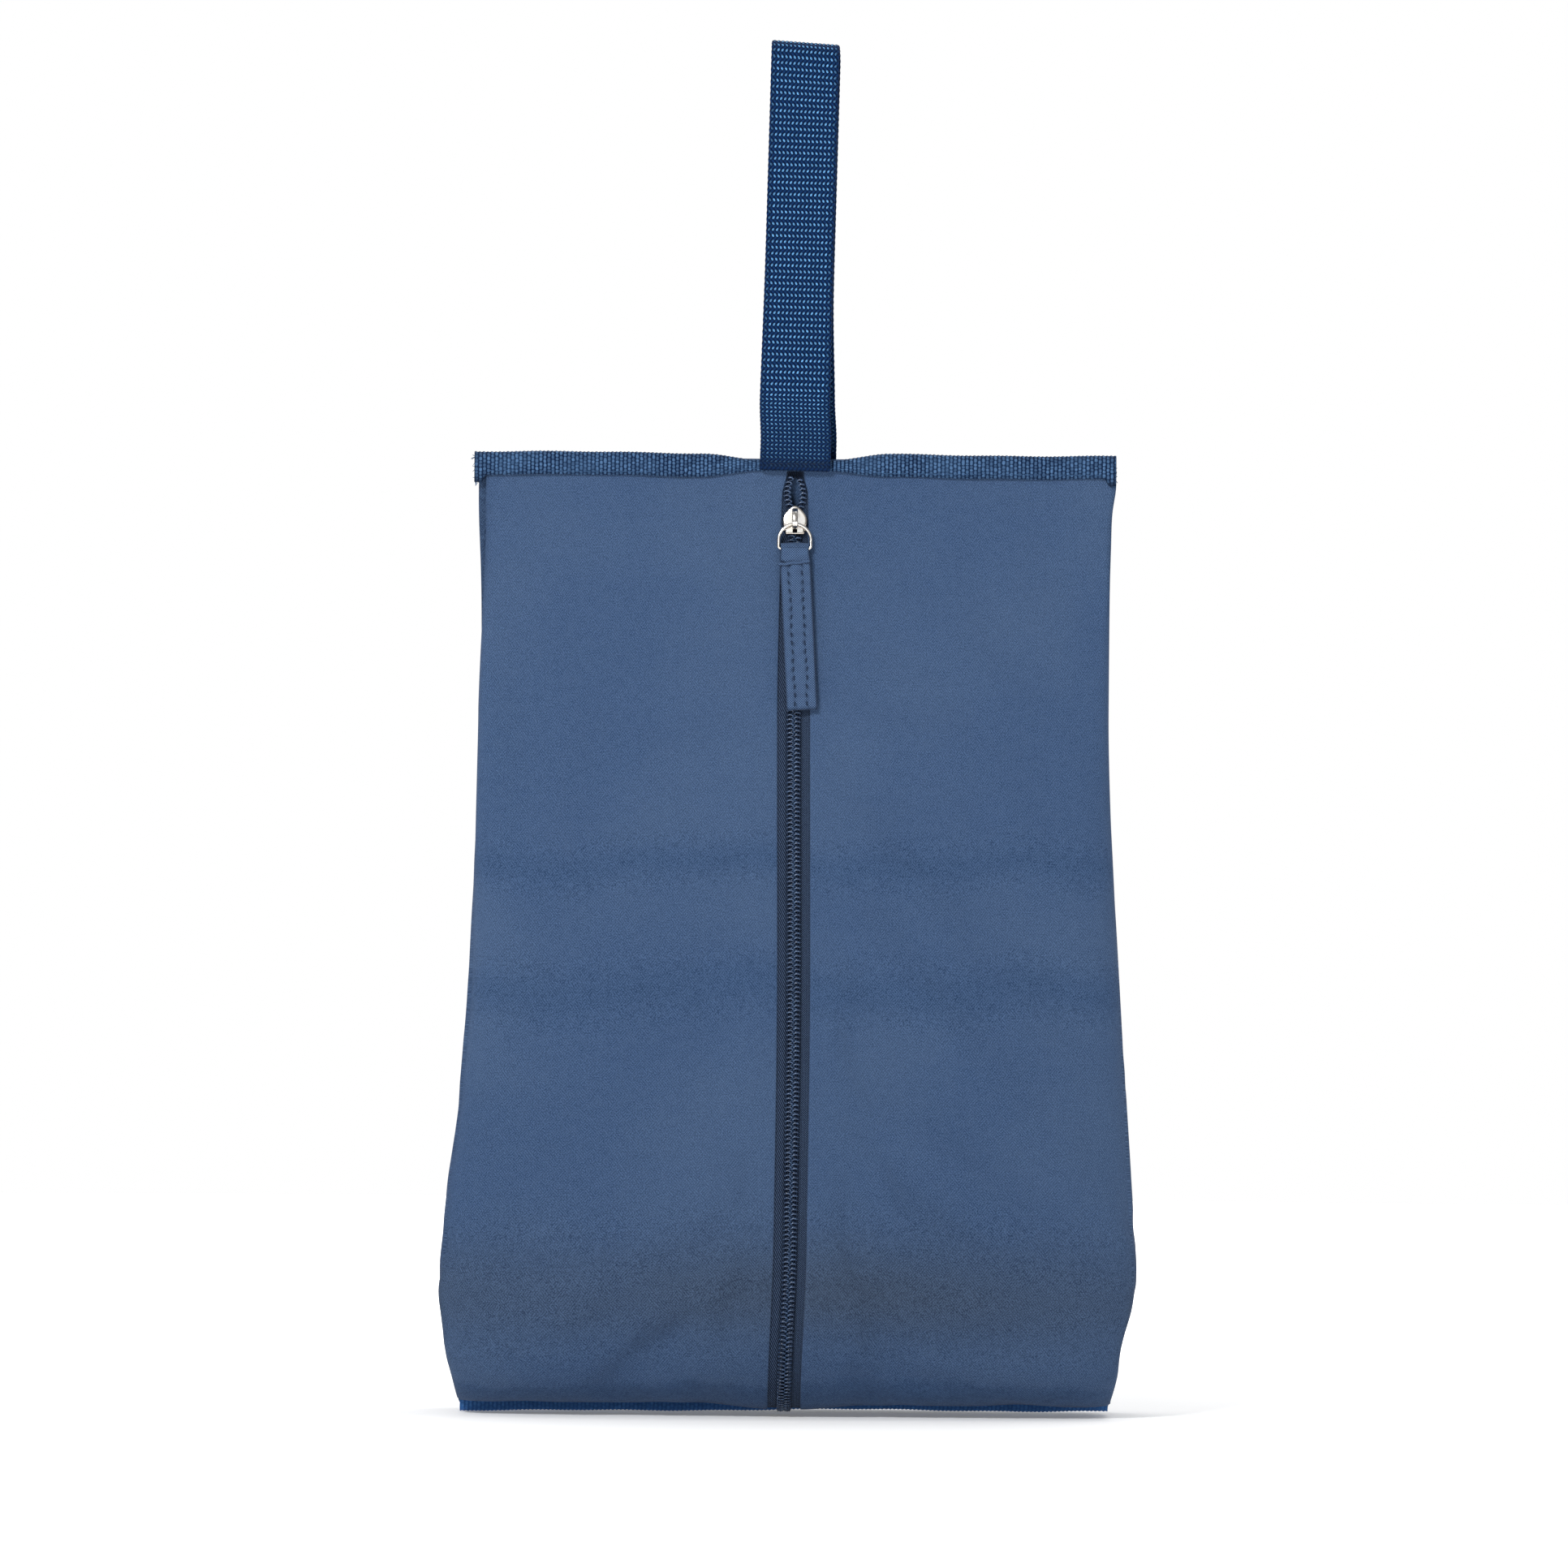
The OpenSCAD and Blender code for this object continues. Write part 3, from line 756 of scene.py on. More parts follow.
def cloth_shade(across, height):
    """How much painted shade the cloth has, from 0 to 1, in old fold lines and at the turn at its foot, and
    how much greyer painted shade, from 0 to -1, round the belly. height is measured from the bag's lower
    edge."""
    fold_line = TURN_HEIGHT + 2.2 * smooth(0, 40, across) - 2 * smooth(60, 110, across)
    fold_line = fold_line + 0.7 * np.sin(across / 7.0) + 0.5 * np.sin(across / 3.1 + 1)
    shade = 0.95 * smooth(1.3, -1.3, height - fold_line)
    shade = shade + 0.1 * bump(height, 51, 8) - (0.8 + 0.2 * np.sin(across / 34 + 1)) * bump(height, 45, 18)
    ripple = 2 * np.sin(across / 19) + 1.2 * np.sin(across / 7.5)
    shade = shade + 0.75 * bump(height + ripple, 198, 6) + 0.75 * bump(height + ripple, 153, 8)
    return np.clip(shade, -1, 1)


def simulate(points, step):
    """Runs a cloth simulation on a coarse copy of the shell and returns how far each of its points
    moved. Its edges are pinned and its upper part is held more firmly than its belly."""
    coarse = points[::step, ::step]
    m, n = coarse.shape[:2]
    obj = mesh_object("cloth_sim", coarse, quads(m, n).tolist())
    pins = obj.vertex_groups.new(name="pins")
    along = np.linspace(0, 1, m)
    for i in range(m):
        for j in range(n):
            edge = min(i, m - 1 - i, j, n - 1 - j)
            hold = 1.0 if edge < 2 else 0.25 if along[i] < 0.3 else 0.1
            pins.add([i * n + j], hold, "REPLACE")
    cloth = obj.modifiers.new("cloth", "CLOTH").settings
    cloth.quality = 6
    cloth.mass = 0.02
    cloth.tension_stiffness = cloth.compression_stiffness = 12
    cloth.shear_stiffness = 6
    cloth.bending_stiffness = 0.25
    cloth.vertex_group_mass = "pins"
    cloth.pin_stiffness = 0.4
    cloth.shrink_min = -0.035
    cloth.use_pressure = True
    cloth.uniform_pressure_force = 0.15
    obj.modifiers["cloth"].collision_settings.use_self_collision = False
    scene = bpy.context.scene
    scene.frame_start, scene.frame_end = 1, 30
    for f in range(1, 25):
        scene.frame_set(f)
    moved = np.zeros(m * n * 3)
    result = obj.evaluated_get(bpy.context.evaluated_depsgraph_get())
    result.data.vertices.foreach_get("co", moved)
    moved = moved.reshape(m, n, 3) / MM - coarse
    scene.frame_set(1)
    bpy.data.objects.remove(obj)
    return moved


def spread_out(coarse, m, n, step):
    """Grows a coarse field to m by n points, and smooths it."""
    rows, columns = np.arange(m) / step, np.arange(n) / step
    coarse_m, coarse_n = np.arange(coarse.shape[0]), np.arange(coarse.shape[1])
    a = np.array([[np.interp(rows, coarse_m, coarse[:, j, c]) for j in coarse_n] for c in range(3)])
    b = np.array([[np.interp(columns, coarse_n, a[c, :, i]) for i in range(m)] for c in range(3)])
    field = b.transpose(1, 2, 0)
    for _ in range(3):
        field[1:-1] = (field[:-2] + 2 * field[1:-1] + field[2:]) / 4
        field[:, 1:-1] = (field[:, :-2] + 2 * field[:, 1:-1] + field[:, 2:]) / 4
    return field


def surface_normals(points):
    """Outward normals of the shell's grid."""
    return unit(np.cross(np.gradient(points, axis=0), np.gradient(points, axis=1)))


def settle(points, rows, lengths, firm):
    """Moves the shell as the simulation says, within limits: less at the top, the foot and the zip."""
    step, furthest = 3, 2.6
    m, n = points.shape[:2]
    moved = spread_out(simulate(points, step), m, n, step)
    size = np.linalg.norm(moved, axis=-1, keepdims=True)
    moved *= np.minimum(1, furthest / np.maximum(size, 1e-6))
    to_foot = CLOTH_LENGTH - lengths
    loose = np.minimum(smooth(3, 40, lengths), smooth(3, 30, to_foot))
    held = loose * mix(0.35, 1.0, smooth(60, 260, lengths)) * smooth(12, 75, to_foot)
    return restore_width(points + moved * held[:, None, None] * firm[None, :, None], rows)


def bag_cloth(material):
    """The whole bag as one sheet, from the right zip edge round the back to the left zip edge."""
    step = 2.0
    places = column_places(step)
    lengths = np.linspace(0, CLOTH_LENGTH, round(CLOTH_LENGTH / step) + 1)
    rows = row_at(lengths)
    points = soften_corners(shell_points(places, rows), places, rows)
    n = points.shape[1]
    rest_height = points[..., 2] - BOTTOM_Z
    loose = np.minimum(smooth(3, 40, lengths), smooth(3, 30, CLOTH_LENGTH - lengths))
    firm = np.minimum(smooth(3, 16, np.arange(n) * step), smooth(3, 16, (n - 1 - np.arange(n)) * step))
    points = settle(points, rows, lengths, firm)
    across = points[..., 0] - BAG_X
    is_front = np.array([p[0] == "front" for p in places])
    dents = creases(across, lengths[:, None]) * is_front
    back_dents = 0.8 * np.sin(across / 37 + 1) * np.sin(lengths[:, None] / 43) * ~is_front
    fade = loose[:, None] * firm
    points += surface_normals(points) * ((dents + back_dents) * fade)[..., None]
    points[..., 2] -= ZIP_DROOP * bump(rows, 2.8, 0.2)[:, None] * bump(across, 0, 26) * (points[..., 1] < 0)
    # Painted shade in the fold lines, at the foot's turn and round the belly, weaker on the back
    shade = cloth_shade(across, rest_height) * np.where(is_front, 1.0, 0.6)
    # Painted shade on the gussets and the back's corners near the top
    behind = np.array([p[0] == "side" or (p[0] == "back" and abs(p[2]) > 0.96) for p in places])
    shade = np.clip(shade + 1.5 * behind * smooth(150, 50, lengths)[:, None], -1, 1.6)
    # The distance round the top edge places the weave
    weave = together(run_of(points[0]), lengths[:, None], shade)
    points, weave = turn_edges(points, weave, surface_normals(points))
    obj = grid("bag_cloth", points, weave)
    solid = obj.modifiers.new("thickness", "SOLIDIFY")
    solid.thickness = CLOTH_T * MM
    solid.offset = 0
    return painted(obj, material)


def turn_edges(points, weave, normals):
    """Adds the turned-under edges of the cloth beside the zip."""
    radius = 0.3
    before, before_w, after, after_w = [], [], [], []
    for index, hand in ((0, 1), (-1, -1)):
        edge, inwards = points[:, index], -normals[:, index]
        inwards[:, 0] = 0
        inwards = unit(inwards)
        for k in range(1, 9):
            if k < 7:
                turn = math.pi * k / 6
                side, deep = -math.sin(turn) * radius, (1 - math.cos(turn)) * radius
            else:
                side, deep = TURNED_UNDER * (k - 6) / 2, 2 * radius
            shift = inwards * deep
            shift[:, 0] += hand * side
            w = weave[:, index].copy()
            w[:, 0] -= hand * (k * 0.3 if k < 7 else side)
            (before if index == 0 else after).append(edge + shift)
            (before_w if index == 0 else after_w).append(w)
    points = np.concatenate([np.stack(before[::-1], 1), points, np.stack(after, 1)], axis=1)
    weave = np.concatenate([np.stack(before_w[::-1], 1), weave, np.stack(after_w, 1)], axis=1)
    return points, weave


# ---------------------------------------------------------------- webbing and bindings


def knot_height(across, along, wide, tall):
    """The same rows of knots as in the webbing's material, as relief from 0 to 1."""
    def knots(offset):
        x = np.abs((across / wide + offset) % 1 - 0.5)
        y = np.abs((along / tall + offset) % 1 - 0.5)
        return np.clip(1 - (2.2 * x) ** 2 - (2.2 * y) ** 2, 0, 1)

    return np.maximum(knots(0), 0.4 * knots(0.5))


def strap_route():
    """The strap's middle line in Y and Z above the middle of the bag's top edge, from the turned-under
    front end, up, over the top and down to the rear end."""
    top = span("handle_loop")[1][2] - TOP_Z - STRAP_T / 2
    r = 5 + STRAP_T / 2
    foot = span("handle_end_front")[0][2] - TOP_Z + STRAP_T * 0.9
    near = BINDING_OUT + CLEARANCE + STRAP_T / 2
    out = near + STRAP_T
    turn = [(math.cos(a), math.sin(a)) for a in np.linspace(0, math.pi, 9)]
    pts = [(-near, foot + 5.2), (-near, foot + 1.2)]
    pts += [(-(near + out) / 2 + c * STRAP_T / 2, foot - s * STRAP_T / 2) for c, s in turn]
    pts.append((-out, foot + 3))
    pts += [(r * math.cos(a), top - r + r * math.sin(a)) for a in np.linspace(math.pi, 0, 33)]
    pts.append((out, foot + 3))
    pts += [((near + out) / 2 + c * STRAP_T / 2, foot - s * STRAP_T / 2) for c, s in turn]
    return np.array(pts + [(near, foot + 1.2), (near, foot + 5.2)])


def resample(points, step):
    lengths = run_of(points)
    at = np.linspace(0, lengths[-1], round(lengths[-1] / step) + 1)
    return np.stack([np.interp(at, lengths, points[:, c]) for c in range(points.shape[1])], -1), at


def handle_strap(material):
    """One continuous strap, woven in relief, bent between the handle and the bag."""
    step = 0.42
    route, at = resample(strap_route(), step)
    tangent = unit(np.gradient(route, axis=0))
    normal = np.stack([tangent[:, 1], -tangent[:, 0]], -1)
    half, n_face = STRAP_W / 2, round(STRAP_W / step)
    xs = np.linspace(-half, half, n_face + 1)
    edge = np.linspace(-0.5, 0.5, 5)[1:-1]
    side_x = half + 0.32 * np.cos(edge * math.pi)
    ring_x = np.concatenate([xs, side_x, xs[::-1], -side_x])
    ring_n = np.concatenate([np.full(n_face + 1, 0.5), -edge, np.full(n_face + 1, -0.5), edge])
    # The rows lie closer together near the sewn ends
    total = at[-1]
    from_end = np.minimum(at, total - at)
    dense = smooth(37, 31, from_end)
    rows = np.cumsum(mix(1, WEB_ROW / WEB_SEWN_ROW, dense)) * (at[1] - at[0])
    relief = knot_height(ring_x + half, rows[:, None], WEB_KNOT, WEB_ROW)
    sign = np.sign(ring_n) * (np.abs(ring_n) == 0.5)
    out = ring_n * (STRAP_T - 0.42) + sign * 0.36 * relief
    wavy = 0.07 * np.sin(rows[:, None] * 2 * math.pi / WEB_ROW) * (np.abs(ring_x) > half - 0.1)
    side = ring_x + np.sign(ring_x) * wavy
    # The rear leg stands a little to the right, and the fold at the top slopes down to the right
    height = route[:, 1:2]
    tall = height.max()
    rear = smooth(0.49 * total, 0.53 * total, at)[:, None]
    shift = rear * mix(2.0, 0.6, smooth(0.05 * tall, 0.4 * tall, height)) - 0.8 * smooth(4, 20, height)
    narrow = 1 - 0.04 * smooth(0.05 * tall, 0.5 * tall, height)
    local_x = side * narrow + shift
    local_y = route[:, :1] + normal[:, :1] * out
    local_z = height + normal[:, 1:2] * out - 0.045 * local_x * smooth(tall - 45, tall, height)
    lean = math.atan2(-BAG_X, -TOP_Z)
    world = together(
        BAG_X + local_x * math.cos(lean) + local_z * math.sin(lean),
        local_y,
        TOP_Z - local_x * math.sin(lean) + local_z * math.cos(lean),
    )
    # Duller, darker knots towards the sewn ends and painted shade on the turned-under ends
    near_end = 0.36 * smooth(34, 12, from_end) + 0.5 * smooth(11.5, 8.5, from_end)
    weave = together(ring_x + half, rows[:, None], near_end[:, None])
    return painted(grid("handle_strap", world, weave, wrap=True, caps=True), material), total


def edge_dip(x):
    """How far the top binding is pulled down beside the handle, from 0 to 1."""
    return smooth(34, 12.5, np.abs(x))


def folded_tape(name, length, height, up, material):
    """Tape folded over the top edge (up 1) or the bottom edge (up -1), woven in relief. At the top its
    ends hang down and it is pulled down beside the handle. At the bottom it hangs lower on its left."""
    step, is_top = 0.36, up > 0
    edge_z, hang = (TOP_Z, TAPE_HANG) if is_top else (BOTTOM_Z, 0)
    xs = np.linspace(-length / 2, length / 2, round(length / step) + 1)
    fold_r = BINDING_OUT - TAPE_T / 2
    straight = height - fold_r
    line = [(-fold_r, -height + k * straight / 20) for k in range(20)]
    line += [(-fold_r * math.cos(a), -fold_r + fold_r * math.sin(a)) for a in np.linspace(0, math.pi, 14)]
    line += [(fold_r, -fold_r - k * straight / 20) for k in range(1, 21)]
    route, at = resample(np.array(line), step)
    tangent = unit(np.gradient(route, axis=0))
    normal = np.stack([-tangent[:, 1], tangent[:, 0]], -1)
    x = xs[:, None]
    rib = np.sin(math.pi * xs / RIB_PITCH)[:, None] ** 2
    row = np.floor(xs / RIB_PITCH)[:, None] % 2
    knot = np.sin(math.pi * (at[None, :] / RIB_KNOT + row / 2)) ** 2
    relief = 0.28 * rib * (0.7 + 0.3 * knot)
    outside = TAPE_T / 2 - 0.2 + relief
    pinch = is_top * edge_dip(x)
    near_end = smooth(length / 2 - 4.4, length / 2 - 2.6, np.abs(x)) * is_top
    low = smooth(-fold_r - 1, -height, route[:, 1])[None, :]

    def place(offset):
        y, z = route[:, 0] + normal[:, 0] * offset, route[:, 1] + normal[:, 1] * offset
        z = z * (1 - 0.52 * pinch) - 2.1 * pinch - hang * low * near_end
        y = y * (1 + 0.1 * np.sin(x / 9) * low) * (1 + 0.16 * near_end)
        return together(middle(edge_z) + x, y, edge_z + up * z)

    outer_face = place(outside)
    inner_face = place(-TAPE_T / 2 + 0 * outside)[:, ::-1][:, ::3]
    points = np.concatenate([outer_face, inner_face], axis=1)
    wave = 0.25 * np.sin(xs / 17)[:, None] + 0.12 * np.sin(xs / 5.3)[:, None]
    points[..., 2] += wave * (1 - pinch)
    if not is_top:
        points[..., 2] -= 1.3 * smooth(30, -110, xs)[:, None]
    added = hang * low * near_end * np.sign(at - at[-1] / 2)[None, :]
    true_at = at[None, :] + added
    true_at = np.concatenate([true_at, true_at[:, ::-1][:, ::3]], axis=1)
    from_edge = np.minimum(true_at, at[-1] - true_at) + hang * near_end
    # Painted shade along the edges where the tape meets the cloth and on its hanging ends, and darker at
    # its cut ends
    wear_and_shade = 0.35 * smooth(1.3, 0.5, from_edge) + 0.6 * near_end * smooth(hang + 1.5, 0, from_edge)
    wear_and_shade = wear_and_shade + 0.35 * is_top * smooth(length / 2 - 1.6, length / 2, np.abs(x))
    weave = together(true_at, x + length, np.clip(wear_and_shade, 0, 0.85))
    return painted(grid(name, points, weave, wrap=True, caps=True), material)


def frayed_ends(name, places, material):
    """Short loose fibres at the tape's cut ends. Each place is (point, direction, spread, count)."""
    fibres = []
    for centre, away, spread, count in places:
        for _ in range(count):
            start = np.array(centre) + rng.uniform(-1, 1, 3) * spread
            bend = rng.uniform(-1, 1, 3) * [0.5, 0.8, 1.0]
            reach = rng.uniform(1.0, 2.4)
            ts = np.linspace(0, 1, 7)[:, None]
            path = start + np.array(away) * reach * ts + bend * ts**2 * 0.8
            fibres.append(tube("fibre", path, rng.uniform(0.07, 0.13), sides=5))
    return painted(join(name, fibres), material)


# ---------------------------------------------------------------- the zip


def zip_frame(lengths):
    """Point, outward normal and down direction of the zip's line at distances below the hem."""
    v = row_at(HEM_LENGTH + np.asarray(lengths, float))
    p = centre_line(v)
    ahead = centre_line(np.minimum(v + 0.004, 4))
    behind = centre_line(np.maximum(v - 0.004, 0))
    down = unit(ahead - behind)
    out = np.stack([0 * down[:, 0], down[:, 2], -down[:, 1]], -1)
    return p, out, down


def beside_zip(hand, lengths, reach, lift, slip=0.0):
    """Points beside the zip's line: reach from the middle of the zip, as it bows open, lift outwards and
    slip down."""
    p, out, down = zip_frame(lengths)
    point = p + out * lift[:, None] + down * np.full(len(p), slip)[:, None]
    point[:, 0] += hand * (reach + parted(lengths))
    return point


SLIDER_AT = float(np.linalg.norm((RING_PIN - [BAG_X, -PANEL_Y, HEM_Z]) * [0, 1, 1])) - 2
ZIP_END = LINE_LENGTH[np.searchsorted(V_FINE, 3.0)] - HEM_LENGTH
COIL_PITCH = 1.65
COIL_HALF = 1.16
COIL_REACH = 1.12
COIL_WIRE = 0.31


def parted(lengths):
    """How far each coil row stands off the middle: it bows open above the slider."""
    open_end = SLIDER_AT - 4.2
    k = np.clip(lengths / open_end, 0, 1)
    return np.where(lengths < open_end, 1.75 * np.sin(math.pi * k) ** 0.75, 0.0)


def zip_tape(hand, material):
    """One zip tape, woven in relief, with its inner edge under the coil."""
    name = "zip_tape_left_cloth" if hand < 0 else "zip_tape_right_cloth"
    step = 0.7
    lengths = np.linspace(-TAPE_ABOVE, ZIP_END, round((ZIP_END + TAPE_ABOVE) / step))
    p, out, _ = zip_frame(lengths)
    xs = np.linspace(0.15, ZIP_TAPE_W, 24)
    inner = parted(lengths)[:, None] * smooth(7.0, 1.0, xs)[None, :]
    x = hand * (xs[None, :] + inner)
    relief = 0.09 * np.sin(2 * math.pi * (lengths[:, None] + 1.7 * xs[None, :]) / 2.0)
    faces = []
    for offset in (-0.55 + relief, -1.05 + 0 * relief):
        point = p[:, None] + out[:, None] * offset[..., None]
        point[..., 0] += x
        faces.append(point)
    points = np.concatenate([faces[0], faces[1][:, ::-1]], axis=1)
    place = np.concatenate([xs, xs[::-1]])
    weave = together(place + RIGHT_TAPE * (hand > 0), lengths[:, None])
    return painted(grid(name, points, weave, wrap=True, caps=True), material)


def coil_path(hand, phase):
    """The helix of one row: each turn reaches from the tape's stitching to the middle of the zip."""
    start, points_per_turn = 0.3, 14
    turns = (ZIP_END - 1 - start) / COIL_PITCH
    t = np.linspace(0, turns, round(turns * points_per_turn))
    lengths = start + t * COIL_PITCH
    angle = 2 * math.pi * t
    reach = COIL_HALF + COIL_REACH * np.cos(angle)
    lift = 0.05 + 0.52 * np.sin(angle)
    # The front strand of each turn arches up over the back one
    slip = 0.18 * np.cos(angle) - 0.42 * np.maximum(np.sin(angle), 0) ** 2 + phase * COIL_PITCH
    return beside_zip(hand, lengths, reach, lift, slip)


def zip_coil(hand, material, thread):
    """One row of the coil, with the threads that sew it to its tape."""
    name = "zip_coil_left_row" if hand < 0 else "zip_coil_right_row"
    phase = 0.0 if hand < 0 else 0.5
    wire = painted(tube(name + "_wire", coil_path(hand, phase), COIL_WIRE), material)
    seams = []
    lengths = np.arange(0.0, ZIP_END, COIL_PITCH / 7)
    lift = 0.62 + 0.26 * np.cos(2 * math.pi * (lengths / COIL_PITCH - phase))
    for reach in (1.3, 2.1):
        seams.append(tube("seam", beside_zip(hand, lengths, reach, lift), 0.13, sides=5))
    return wire, painted(join(name + "_thread", seams), thread)


# ---------------------------------------------------------------- slider, ring and tab


# Right, up and outward directions of the zip's straight slope
SLOPE_RIGHT = np.array([1.0, 0.0, 0.0])
SLOPE_UP = -unit(ZIP_AXIS)
SLOPE_OUT = np.cross(SLOPE_RIGHT, SLOPE_UP)


def on_slope(local, origin):
    """Points given as (right, outward, up) about an origin on the slope."""
    local = np.asarray(local, float)
    return origin + local[..., :1] * SLOPE_RIGHT + local[..., 1:2] * SLOPE_OUT + local[..., 2:3] * SLOPE_UP


def slider_origin():
    """The slider's middle on the cloth's middle surface."""
    return np.array([BAG_X, -PANEL_Y, HEM_Z]) + SLIDER_AT * ZIP_AXIS


def shield_outline(width, height, count=72):
    """The slider's face: an egg shape over a narrower foot plate with a flat end."""
    r = width / 2
    end = -height / 2
    rise = height / 2 + 0.1
    points = [(r * math.cos(a) * (1 - 0.45 * max(math.sin(a), 0) ** 2), rise * math.sin(a) - 0.1)
              for a in np.linspace(-0.36, math.pi + 0.36, 48)]
    foot = [(0.9, -2.1), (0.81, -2.35), (0.79, -2.8), (0.79, end + 0.35), (0.74, end)]
    points += [(-x * r, y) for x, y in foot] + [(x * r, y) for x, y in foot[::-1]]
    closed = np.array(points + [points[0]])
    lengths = run_of(closed)
    at = np.linspace(0, lengths[-1], count, endpoint=False)
    return np.stack([np.interp(at, lengths, closed[:, c]) for c in range(2)], -1)


def plate(name, outline, profile, origin):
    """A plate with rounded edges: profile lists (inset, outward) pairs from its back rim to its front."""
    low, high = outline.min(axis=0), outline.max(axis=0)
    centre, half = (low + high) / 2, (high - low) / 2
    rings = []
    for inset, out in profile:
        flat = centre + (outline - centre) * (1 - inset / half)
        rings.append(np.stack([flat[:, 0], np.full(len(flat), out), flat[:, 1]], -1))
    points = on_slope(np.array(rings), origin)
    # Painted shade darkens the sides and fades towards the front
    edge_shade = ([0.9] * len(profile) + [0.65, 0.2, 0])[-len(profile):]
    weave = np.zeros(points.shape)
    weave[..., 2] = np.array(edge_shade)[:, None]
    return grid(name, points, weave, wrap=True, caps=True)


def rounded(depth_in, depth_out, edge):
    """A plate's profile from one depth to another, with edges rounded by that radius."""
    return [(edge * 1.6, depth_in), (edge * 0.3, depth_in + edge * 0.25), (0, depth_in + edge),
            (0, depth_out - edge), (edge * 0.3, depth_out - edge * 0.3), (edge, depth_out - edge * 0.06),
            (edge * 2.4, depth_out)]


def bar_sweep(name, path, across, width, thick, edge=0.22):
    """A flat bar along a path, with rounded edges. across is the direction of its width."""
    path = np.asarray(path, float)
    along = unit(np.gradient(path, axis=0))
    out = unit(np.cross(along, across))
    w, t = width / 2, thick / 2
    corner = [(w - edge, -t), (w, -t + edge), (w, t - edge), (w - edge, t)]
    section = corner + [(-x, y) for x, y in corner[::-1]]
    points = np.stack([path + across * x + out * y for x, y in section], 1)
    weave = np.zeros(points.shape)
    # Painted shade on the bar's narrow sides
    weave[..., 2] = np.array([0.85 if abs(x) == w else 0.1 for x, y in section])[None, :]
    return grid(name, points, weave, wrap=True, caps=True)


def slider_piece(material):
    """Front shield, back plate, flanges and post of the slider, bevelled all round, and a black plate
    of painted shade for the notch under its bail."""
    origin = slider_origin()
    out_in, out_face = 1.15, 2.1
    parts = [plate("front", shield_outline(8.7, 10.6), rounded(out_in, out_face, 0.36), origin),
             plate("back", shield_outline(7.6, 10.2), rounded(-2.15, -1.3, 0.25), origin)]
    for hand in (-1, 1):
        xs = sorted((hand * 3.0, hand * 4.1))
        outline = np.array([(xs[0], -3.9), (xs[1], -3.9), (xs[1], 1.6), (xs[0], 1.6)])
        corners = resample(np.concatenate([outline, outline[:1]]), 0.55)[0][:-1]
        parts.append(plate("flange", corners, rounded(-0.05, 1.5, 0.2), origin))
    post = np.array([(-0.25, 2.0), (0.25, 2.0), (0.25, 4.4), (-0.25, 4.4)])
    parts.append(plate("post", post, [(0, -1.5), (0, 1.5)], origin))
    # A black plate stands in for the shadowed notch: painted shade
    notch = np.array([(-0.85, -4.8), (0.85, -4.8), (0.85, -3.6), (-0.85, -3.6)])
    parts.append(plate("notch", notch, [(0, 1.9), (0, out_face + 0.03)], origin))
    dark = parts[-1].data.attributes["weave"]
    dark.data.foreach_set("vector", np.tile([0.0, 0.0, 2.0], len(dark.data)))
    return painted(join("slider_shell", parts), material)


def bail_piece(material):
    """The arched bail that stands on the slider's face."""
    origin = slider_origin()
    centre, r = 2.05 - 0.9, 3.9
    low = math.asin(0.75 / r)
    path = []
    for a in np.linspace(low, math.pi - low, 36):
        # It leans smoothly up the slider and drops steeply at its foot
        up = 4.0 * math.cos(a) if a < math.pi / 2 else -3.3 * abs(math.cos(a)) ** 0.6
        path.append((0, centre + r * math.sin(a), up))
    points = on_slope(np.array(path), origin)
    return painted(bar_sweep("bail_arch", points, SLOPE_RIGHT, 2.0, 0.8), material)


def ring_piece(material):
    """The D-shaped ring: a half circle over two legs and a straight bar."""
    r, leg, corner, wire = 5.85, 3.25, 1.1, 0.55
    path = [(r * math.cos(a), 0, -r + r * math.sin(a)) for a in np.linspace(0, math.pi, 40)]
    for hand, start in ((-1, math.pi), (1, 1.5 * math.pi)):
        for a in np.linspace(start, start + math.pi / 2, 8):
            x, z = hand * (r - corner), -r - leg + corner
            path.append((x + corner * math.cos(a), 0, z + corner * math.sin(a)))
    ring = tube("ring_wire", on_slope(path, RING_PIN), wire, sides=14, closed=True)
    return painted(ring, material)


TAB_LEAN = math.radians(3)
TAB_LENGTH = 59.4
TAB_WIDTH = 11.2
STITCH_ROWS = (-2.45, 2.2)
STITCH_PITCH = 3.2


def tab_local(x, out, down):
    """A point of the leaning tab, from its distance across, outwards and down from the ring's bar."""
    lean = TAB_LEAN * smooth(0, 6, down)
    return together(x * np.cos(lean) + down * np.sin(lean), out, x * np.sin(lean) - down * np.cos(lean))


def tab_wander(down, at):
    """How far a row of the tab's stitches strays sideways."""
    return 0.3 * np.sin(down * 1.7 + at) + 0.2 * np.sin(down * 0.35 + 2 * at)


